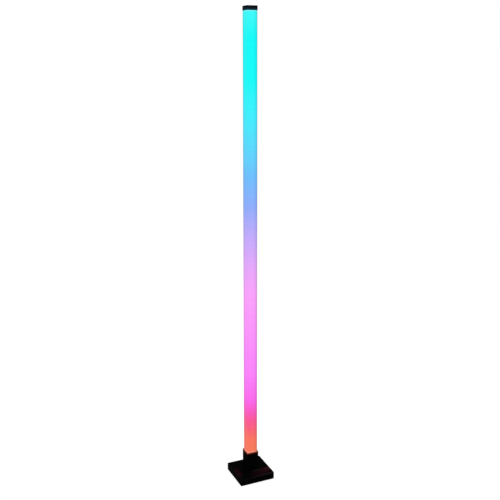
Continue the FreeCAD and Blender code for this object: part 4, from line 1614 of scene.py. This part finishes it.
@dataclass
class WeightedBase(SubAssembly):
    """The moulded cover, its plate, pads and screws, and the ballast."""

    half: float = 55.5
    radius: float = 3.5
    edge_fillet: float = 1.0
    lead_in: float = 0.3  # chamfer at the mouths of bores and openings
    wall: float = 3.0
    rim: float = 0.7
    plate_bottom: float = 2.5
    plate_top: float = 4.0
    ceiling: float = 18.5
    top: float = 21.5
    tenon_hole_half: float = 15.4
    tenon_radius: float = 1.6
    boss_offset: float = 45.5
    boss_radius: float = 3.5
    boss_bore: float = 3.1
    boss_depth: float = 12.5
    board_bosses: tuple[Flat, ...] = ((-23.0, 32.0), (23.0, 32.0))
    board_boss_foot: float = 8.1
    board_boss_radius: float = 2.5
    board_bore: float = 2.6
    board_bore_top: float = 14.5
    rear_axis: float = 13.1
    inlet_x: float = 16.0
    inlet_hole: float = 8.2
    button_x: float = -19.0
    button_hole: float = 6.56
    pad_side: float = 12.0
    screw_head: float = 6.0
    screw_shank: float = 3.0
    screw_pitch: float = 0.8
    screw_length: float = 9.0

    def bosses(self) -> bpy.types.Mesh:
        """The screw bosses under the cover's top, with blind bores.

        Returns:
            Their mesh.
        """
        shell = Shell()
        into = self.ceiling + 1.0
        corners = [(sx * self.boss_offset, sy * self.boss_offset) for sx in (-1, 1) for sy in (-1, 1)]
        kinds = (
            (corners, self.boss_radius, self.boss_bore / 2, self.plate_top, self.boss_depth),
            (self.board_bosses, self.board_boss_radius, self.board_bore / 2, self.board_boss_foot, self.board_bore_top),
        )
        for places, outer, bore, foot, bore_top in kinds:
            outline = [(bore * 0.5, bore_top), (bore, bore_top - 0.4)]
            outline += [(bore, foot + self.lead_in), (bore + self.lead_in, foot)]
            outline += [(outer - 0.15, foot), (outer, foot + 0.15), (outer, into)]
            for x, y in places:
                shell.turned(outline, 28, at(x, y))
        return shell.mesh("bosses")

    def rear_holes(self) -> bpy.types.Mesh:
        """What is cut from the rear skirt: two holes with chamfered mouths.

        Returns:
            The holes' mesh.
        """
        shell = Shell()
        for x, diameter in ((self.inlet_x, self.inlet_hole), (self.button_x, self.button_hole)):
            radius = diameter / 2
            mouth = self.half
            outline = [
                (radius, mouth - self.wall - 1.0),
                (radius, mouth - self.lead_in),
                (radius + self.lead_in, mouth),
                (radius + self.lead_in, mouth + 1.0),
            ]
            shell.turned(outline, 40, at(x, 0.0, self.rear_axis) @ Z_TO_Y)
        return shell.mesh("rear_holes")

    def build_cover(self) -> None:
        """Builds the cover."""
        inner_half, inner_radius = self.half - self.wall, self.radius - self.wall
        rings = rounded_edge(self.half, self.radius, self.rim, 0.25, False, 2)[::-1]
        rings += rounded_edge(self.half, self.radius, self.top, self.edge_fillet, True, 5)
        rings += [rounded_square(self.tenon_hole_half, self.tenon_radius, z) for z in (self.top, self.ceiling)]
        rings += [rounded_square(inner_half, inner_radius, z) for z in (self.ceiling, self.rim)]
        shell = Shell()
        shell.loft(rings, joined=True)
        obj = shell.piece("base_shell")
        combine(obj, self.bosses(), "UNION")
        combine(obj, self.rear_holes(), "DIFFERENCE")
        self.fit(obj, "base_cover", COVER_BLACK)

    def build_pads(self, corners: Former) -> None:
        """Builds the four pads.

        Args:
            corners: the tree for what stands at the four corners.
        """
        shell = Shell()
        half = self.pad_side / 2
        shell.block((-half, -half, 0.0), (half, half, self.plate_bottom), 0.4)
        obj = shell.piece("pads")
        corners.form(obj, self.coat(PAD_RUBBER), Side=2 * self.boss_offset * MM, Height=0.0)
        self.fit(obj, "foot_pads", PAD_RUBBER)

    def build_screws(self, corners: Former) -> None:
        """Builds the four countersunk screws.

        Args:
            corners: the tree for what stands at the four corners.
        """
        screw = Screw(self.screw_head, self.screw_shank, self.screw_length, self.screw_pitch)
        obj = screw.build("plate_fixing")
        corners.form(obj, self.coat(SCREW_BLACK), Side=2 * self.boss_offset * MM, Height=self.plate_bottom * MM)
        self.fit(obj, "plate_screws", SCREW_BLACK)

    def build(self, corners: Former) -> None:
        """Builds and dresses the base.

        Args:
            corners: the tree for what stands at the four corners.
        """
        self.build_cover()
        self.build_pads(corners)
        self.build_screws(corners)
        self.dress(ballast=BALLAST_STEEL, bottom_plate=PLATE_BLACK)


@dataclass
class ControlUnit(SubAssembly):
    """The control board with its parts, and the push button."""

    board_bottom: float = 6.5
    board_top: float = 8.1
    screw_places: tuple[Flat, ...] = ((-23.0, 32.0), (23.0, 32.0))
    screw_head: float = 4.6
    screw_head_height: float = 1.4
    screw_shank: float = 2.5
    screw_pitch: float = 0.6
    screw_length: float = 7.0
    capacitor_place: Flat = (11.0, 31.6)
    capacitor_radius: float = 3.15
    capacitor_height: float = 7.0
    button_x: float = -19.0
    button_z: float = 13.1
    button_radius: float = 3.2
    flange_radius: float = 4.2
    flange_rear: float = 51.55
    flange_front: float = 52.45
    button_face: float = 56.9

    def build_screws(self, row: Former) -> None:
        """Builds the two board screws.

        Args:
            row: the tree for rows.
        """
        screw = Screw(self.screw_head, self.screw_shank, self.screw_length, self.screw_pitch, self.screw_head_height)
        obj = screw.build("board_fixing")
        self.lay_pair(obj, row, self.screw_places, self.board_bottom, SCREW_ZINC)
        self.fit(obj, "board_screws", SCREW_ZINC)

    def build_capacitor(self) -> None:
        """Builds the can with its rolled groove and vented top."""
        x, y = self.capacitor_place
        radius, low = self.capacitor_radius, self.board_top
        high = low + self.capacitor_height
        waist, edge, vent = radius - 0.25, 0.4, 0.1
        outline = [(radius, low), (radius, low + 0.9), (waist, low + 1.1), (waist, low + 1.4), (radius, low + 1.6)]
        outline += [(radius, high - edge), (radius - 0.12, high - 0.12), (radius - edge, high)]
        outline += [(radius - 0.9, high), (radius - 1.0, high - vent), (0.3, high - vent)]
        shell = Shell()
        shell.turned(outline, 32, at(x, y))
        obj = shell.piece("can")
        self.fit(obj, "filter_capacitor", CAPACITOR_SLEEVE)

    def build_button(self) -> None:
        """Builds the push button, with a dished face."""
        radius, face = self.button_radius, self.button_face
        flange, rear, front = self.flange_radius, self.flange_rear, self.flange_front
        nib, edge, middle = 0.1, 0.4, 0.2
        outline = [(middle, rear), (flange - nib, rear), (flange, rear + nib), (flange, front), (radius, front)]
        outline += [(radius, face - edge), (radius - 0.12, face - 0.12), (radius - edge, face)]
        dish = ((0.7, 0.04), (1.2, 0.2), (2.0, 0.32))  # from the rim inwards, and how deep
        outline += [(radius - inset, face - depth) for inset, depth in dish] + [(middle, face - 0.36)]
        shell = Shell()
        shell.turned(outline, 40, at(self.button_x, 0.0, self.button_z) @ Z_TO_Y)
        obj = shell.piece("push_button")
        self.fit(obj, "power_button", BUTTON_BLACK, BUTTON)

    def build(self, row: Former) -> None:
        """Builds and dresses the control unit.

        Args:
            row: the tree for rows.
        """
        self.build_screws(row)
        self.build_capacitor()
        self.build_button()
        self.dress(
            control_board=BOARD_GREEN,
            radio_module=SHIELD_TIN,
            voltage_regulator=CHIP_BLACK,
            lead_connector=CONNECTOR_CREAM,
            power_inlet=INLET_BLACK,
            inlet_pin=CONTACT_NICKEL,
            switch_housing=SWITCH_GREY,
            switch_plunger=SWITCH_GREY,
        )


# ---------------------------------------------------------------- studio


@dataclass
class Studio:
    """A white room, soft lamps and the camera."""

    sky: float = 0.72  # the room's light on the lamp
    floor_side: float = 40.0
    floor_pale: Colour = (0.8, 0.8, 0.8)  # what the floor throws back on the lamp
    floor_faint: Colour = (0.14, 0.14, 0.14)  # where it is seen: the part that takes a shadow
    floor_white: float = 0.9  # and the part that doesn't
    lamp_side: float = 2.0  # metres
    lamps: tuple[tuple[str, Point, float], ...] = (  # name, place in metres, watts
        ("key", (-2.2, -2.6, 2.8), 55.0),
        ("fill", (2.6, -1.6, 1.8), 30.0),
        ("back", (0.8, 2.6, 2.4), 30.0),
    )
    camera_place: Point = (-0.8521, -1.9085, 1.250)
    camera_turn: float = 24.04  # degrees from +Y towards +X
    camera_dip: float = 13.59  # degrees
    camera_roll: float = -0.07  # degrees
    lens: float = 53.46  # millimetres
    sensor: float = 36.0
    rise: float = -0.015  # the lens's shift, as a share of the picture's width

    def seen(self, graph: Graph) -> Wire:
        """1 for the rays that show the room itself: from the camera, in gloss and through glass.

        Args:
            graph: the tree to draw it in.

        Returns:
            The mask's wire.
        """
        rays = [
            graph.node("ShaderNodeLightPath", output=f"Is {kind} Ray") for kind in ("Camera", "Glossy", "Transmission")
        ]
        return rays[0].most(rays[1]).most(rays[2])

    def build_room(self) -> None:
        """Sets the world: white where it is seen, plain soft light otherwise."""
        world = bpy.data.worlds.new("room")
        world.use_nodes = True
        bpy.context.scene.world = world
        graph = Graph(world.node_tree)
        graph.tree.nodes.clear()
        seen = self.seen(graph)
        white = graph.node("ShaderNodeBackground", inputs={"Color": (*WHITE, 1.0), "Strength": 1.0})
        soft = graph.node("ShaderNodeBackground", inputs={"Color": (*WHITE, 1.0), "Strength": self.sky})
        both = graph.node("ShaderNodeMixShader", inputs={0: seen, 1: soft, 2: white})
        output = graph.tree.nodes.new("ShaderNodeOutputWorld")
        graph.link(both, output.inputs["Surface"])

    def build_floor(self) -> None:
        """Lays the floor: pale, white where it is seen, with the lamp's faint shadow kept."""
        mesh = bpy.data.meshes.new("floor")
        reach = self.floor_side / 2
        corners = [(-reach, -reach, 0.0), (reach, -reach, 0.0), (reach, reach, 0.0), (-reach, reach, 0.0)]
        mesh.from_pydata(corners, [], [(0, 1, 2, 3)])
        floor = as_object("floor", mesh)
        material = bpy.data.materials.new("pale_floor")
        material.use_nodes = True
        graph = Graph(material.node_tree)
        graph.tree.nodes.clear()
        pale = graph.node("ShaderNodeBsdfDiffuse", inputs={"Color": (*self.floor_pale, 1.0)})
        faint = graph.node("ShaderNodeBsdfDiffuse", inputs={"Color": (*self.floor_faint, 1.0)})
        white = graph.node("ShaderNodeEmission", inputs={"Color": (*WHITE, 1.0), "Strength": self.floor_white})
        shown = graph.node("ShaderNodeAddShader", inputs={0: faint, 1: white})
        both = graph.node("ShaderNodeMixShader", inputs={0: self.seen(graph), 1: pale, 2: shown})
        output = graph.tree.nodes.new("ShaderNodeOutputMaterial")
        graph.link(both, output.inputs["Surface"])
        floor.data.materials.append(material)

    def build_lamp(self, name: str, place: Point, watts: float) -> None:
        """Hangs a soft square lamp.

        Args:
            name: its name.
            place: where it hangs, in metres; it points at the lower half of the column.
            watts: its power.
        """
        light = bpy.data.lights.new(name, "AREA")
        light.shape = "SQUARE"
        light.size = self.lamp_side
        light.energy = watts
        lamp = bpy.data.objects.new(name, light)
        lamp.location = place
        aim = Vector((0.0, 0.0, 0.5)) - Vector(place)
        lamp.rotation_euler = aim.to_track_quat("-Z", "Y").to_euler()
        bpy.context.scene.collection.objects.link(lamp)

    def build_camera(self) -> None:
        """Stands the camera so that the lamp lies in the picture as it does in the photograph."""
        data = bpy.data.cameras.new("camera")
        data.lens = self.lens
        data.sensor_width = self.sensor
        data.shift_y = self.rise
        data.clip_end = 100.0
        camera = bpy.data.objects.new("camera", data)
        camera.location = self.camera_place
        turns = ((-self.camera_turn, "Z"), (90.0 - self.camera_dip, "X"), (self.camera_roll, "Z"))
        aim = Matrix.Identity(3)
        for angle, axis in turns:
            aim = aim @ Matrix.Rotation(math.radians(angle), 3, axis)
        camera.rotation_euler = aim.to_euler()
        bpy.context.scene.collection.objects.link(camera)
        bpy.context.scene.camera = camera

    def build(self) -> None:
        """Builds the whole studio."""
        self.build_room()
        self.build_floor()
        for name, place, watts in self.lamps:
            self.build_lamp(name, place, watts)
        self.build_camera()
        bpy.context.scene.view_settings.view_transform = "Standard"


def main() -> None:
    """Builds the lamp's pieces in order, then the studio round it."""
    logging.basicConfig(level=logging.INFO, format="%(message)s")
    row, corners = row_former(), corner_former()
    LightColumn().build(extrusion_former(), row)
    Collar().build(row, lead_former())
    WeightedBase().build(corners)
    ControlUnit().build(row)
    Studio().build()


if __name__ == "__main__":
    main()
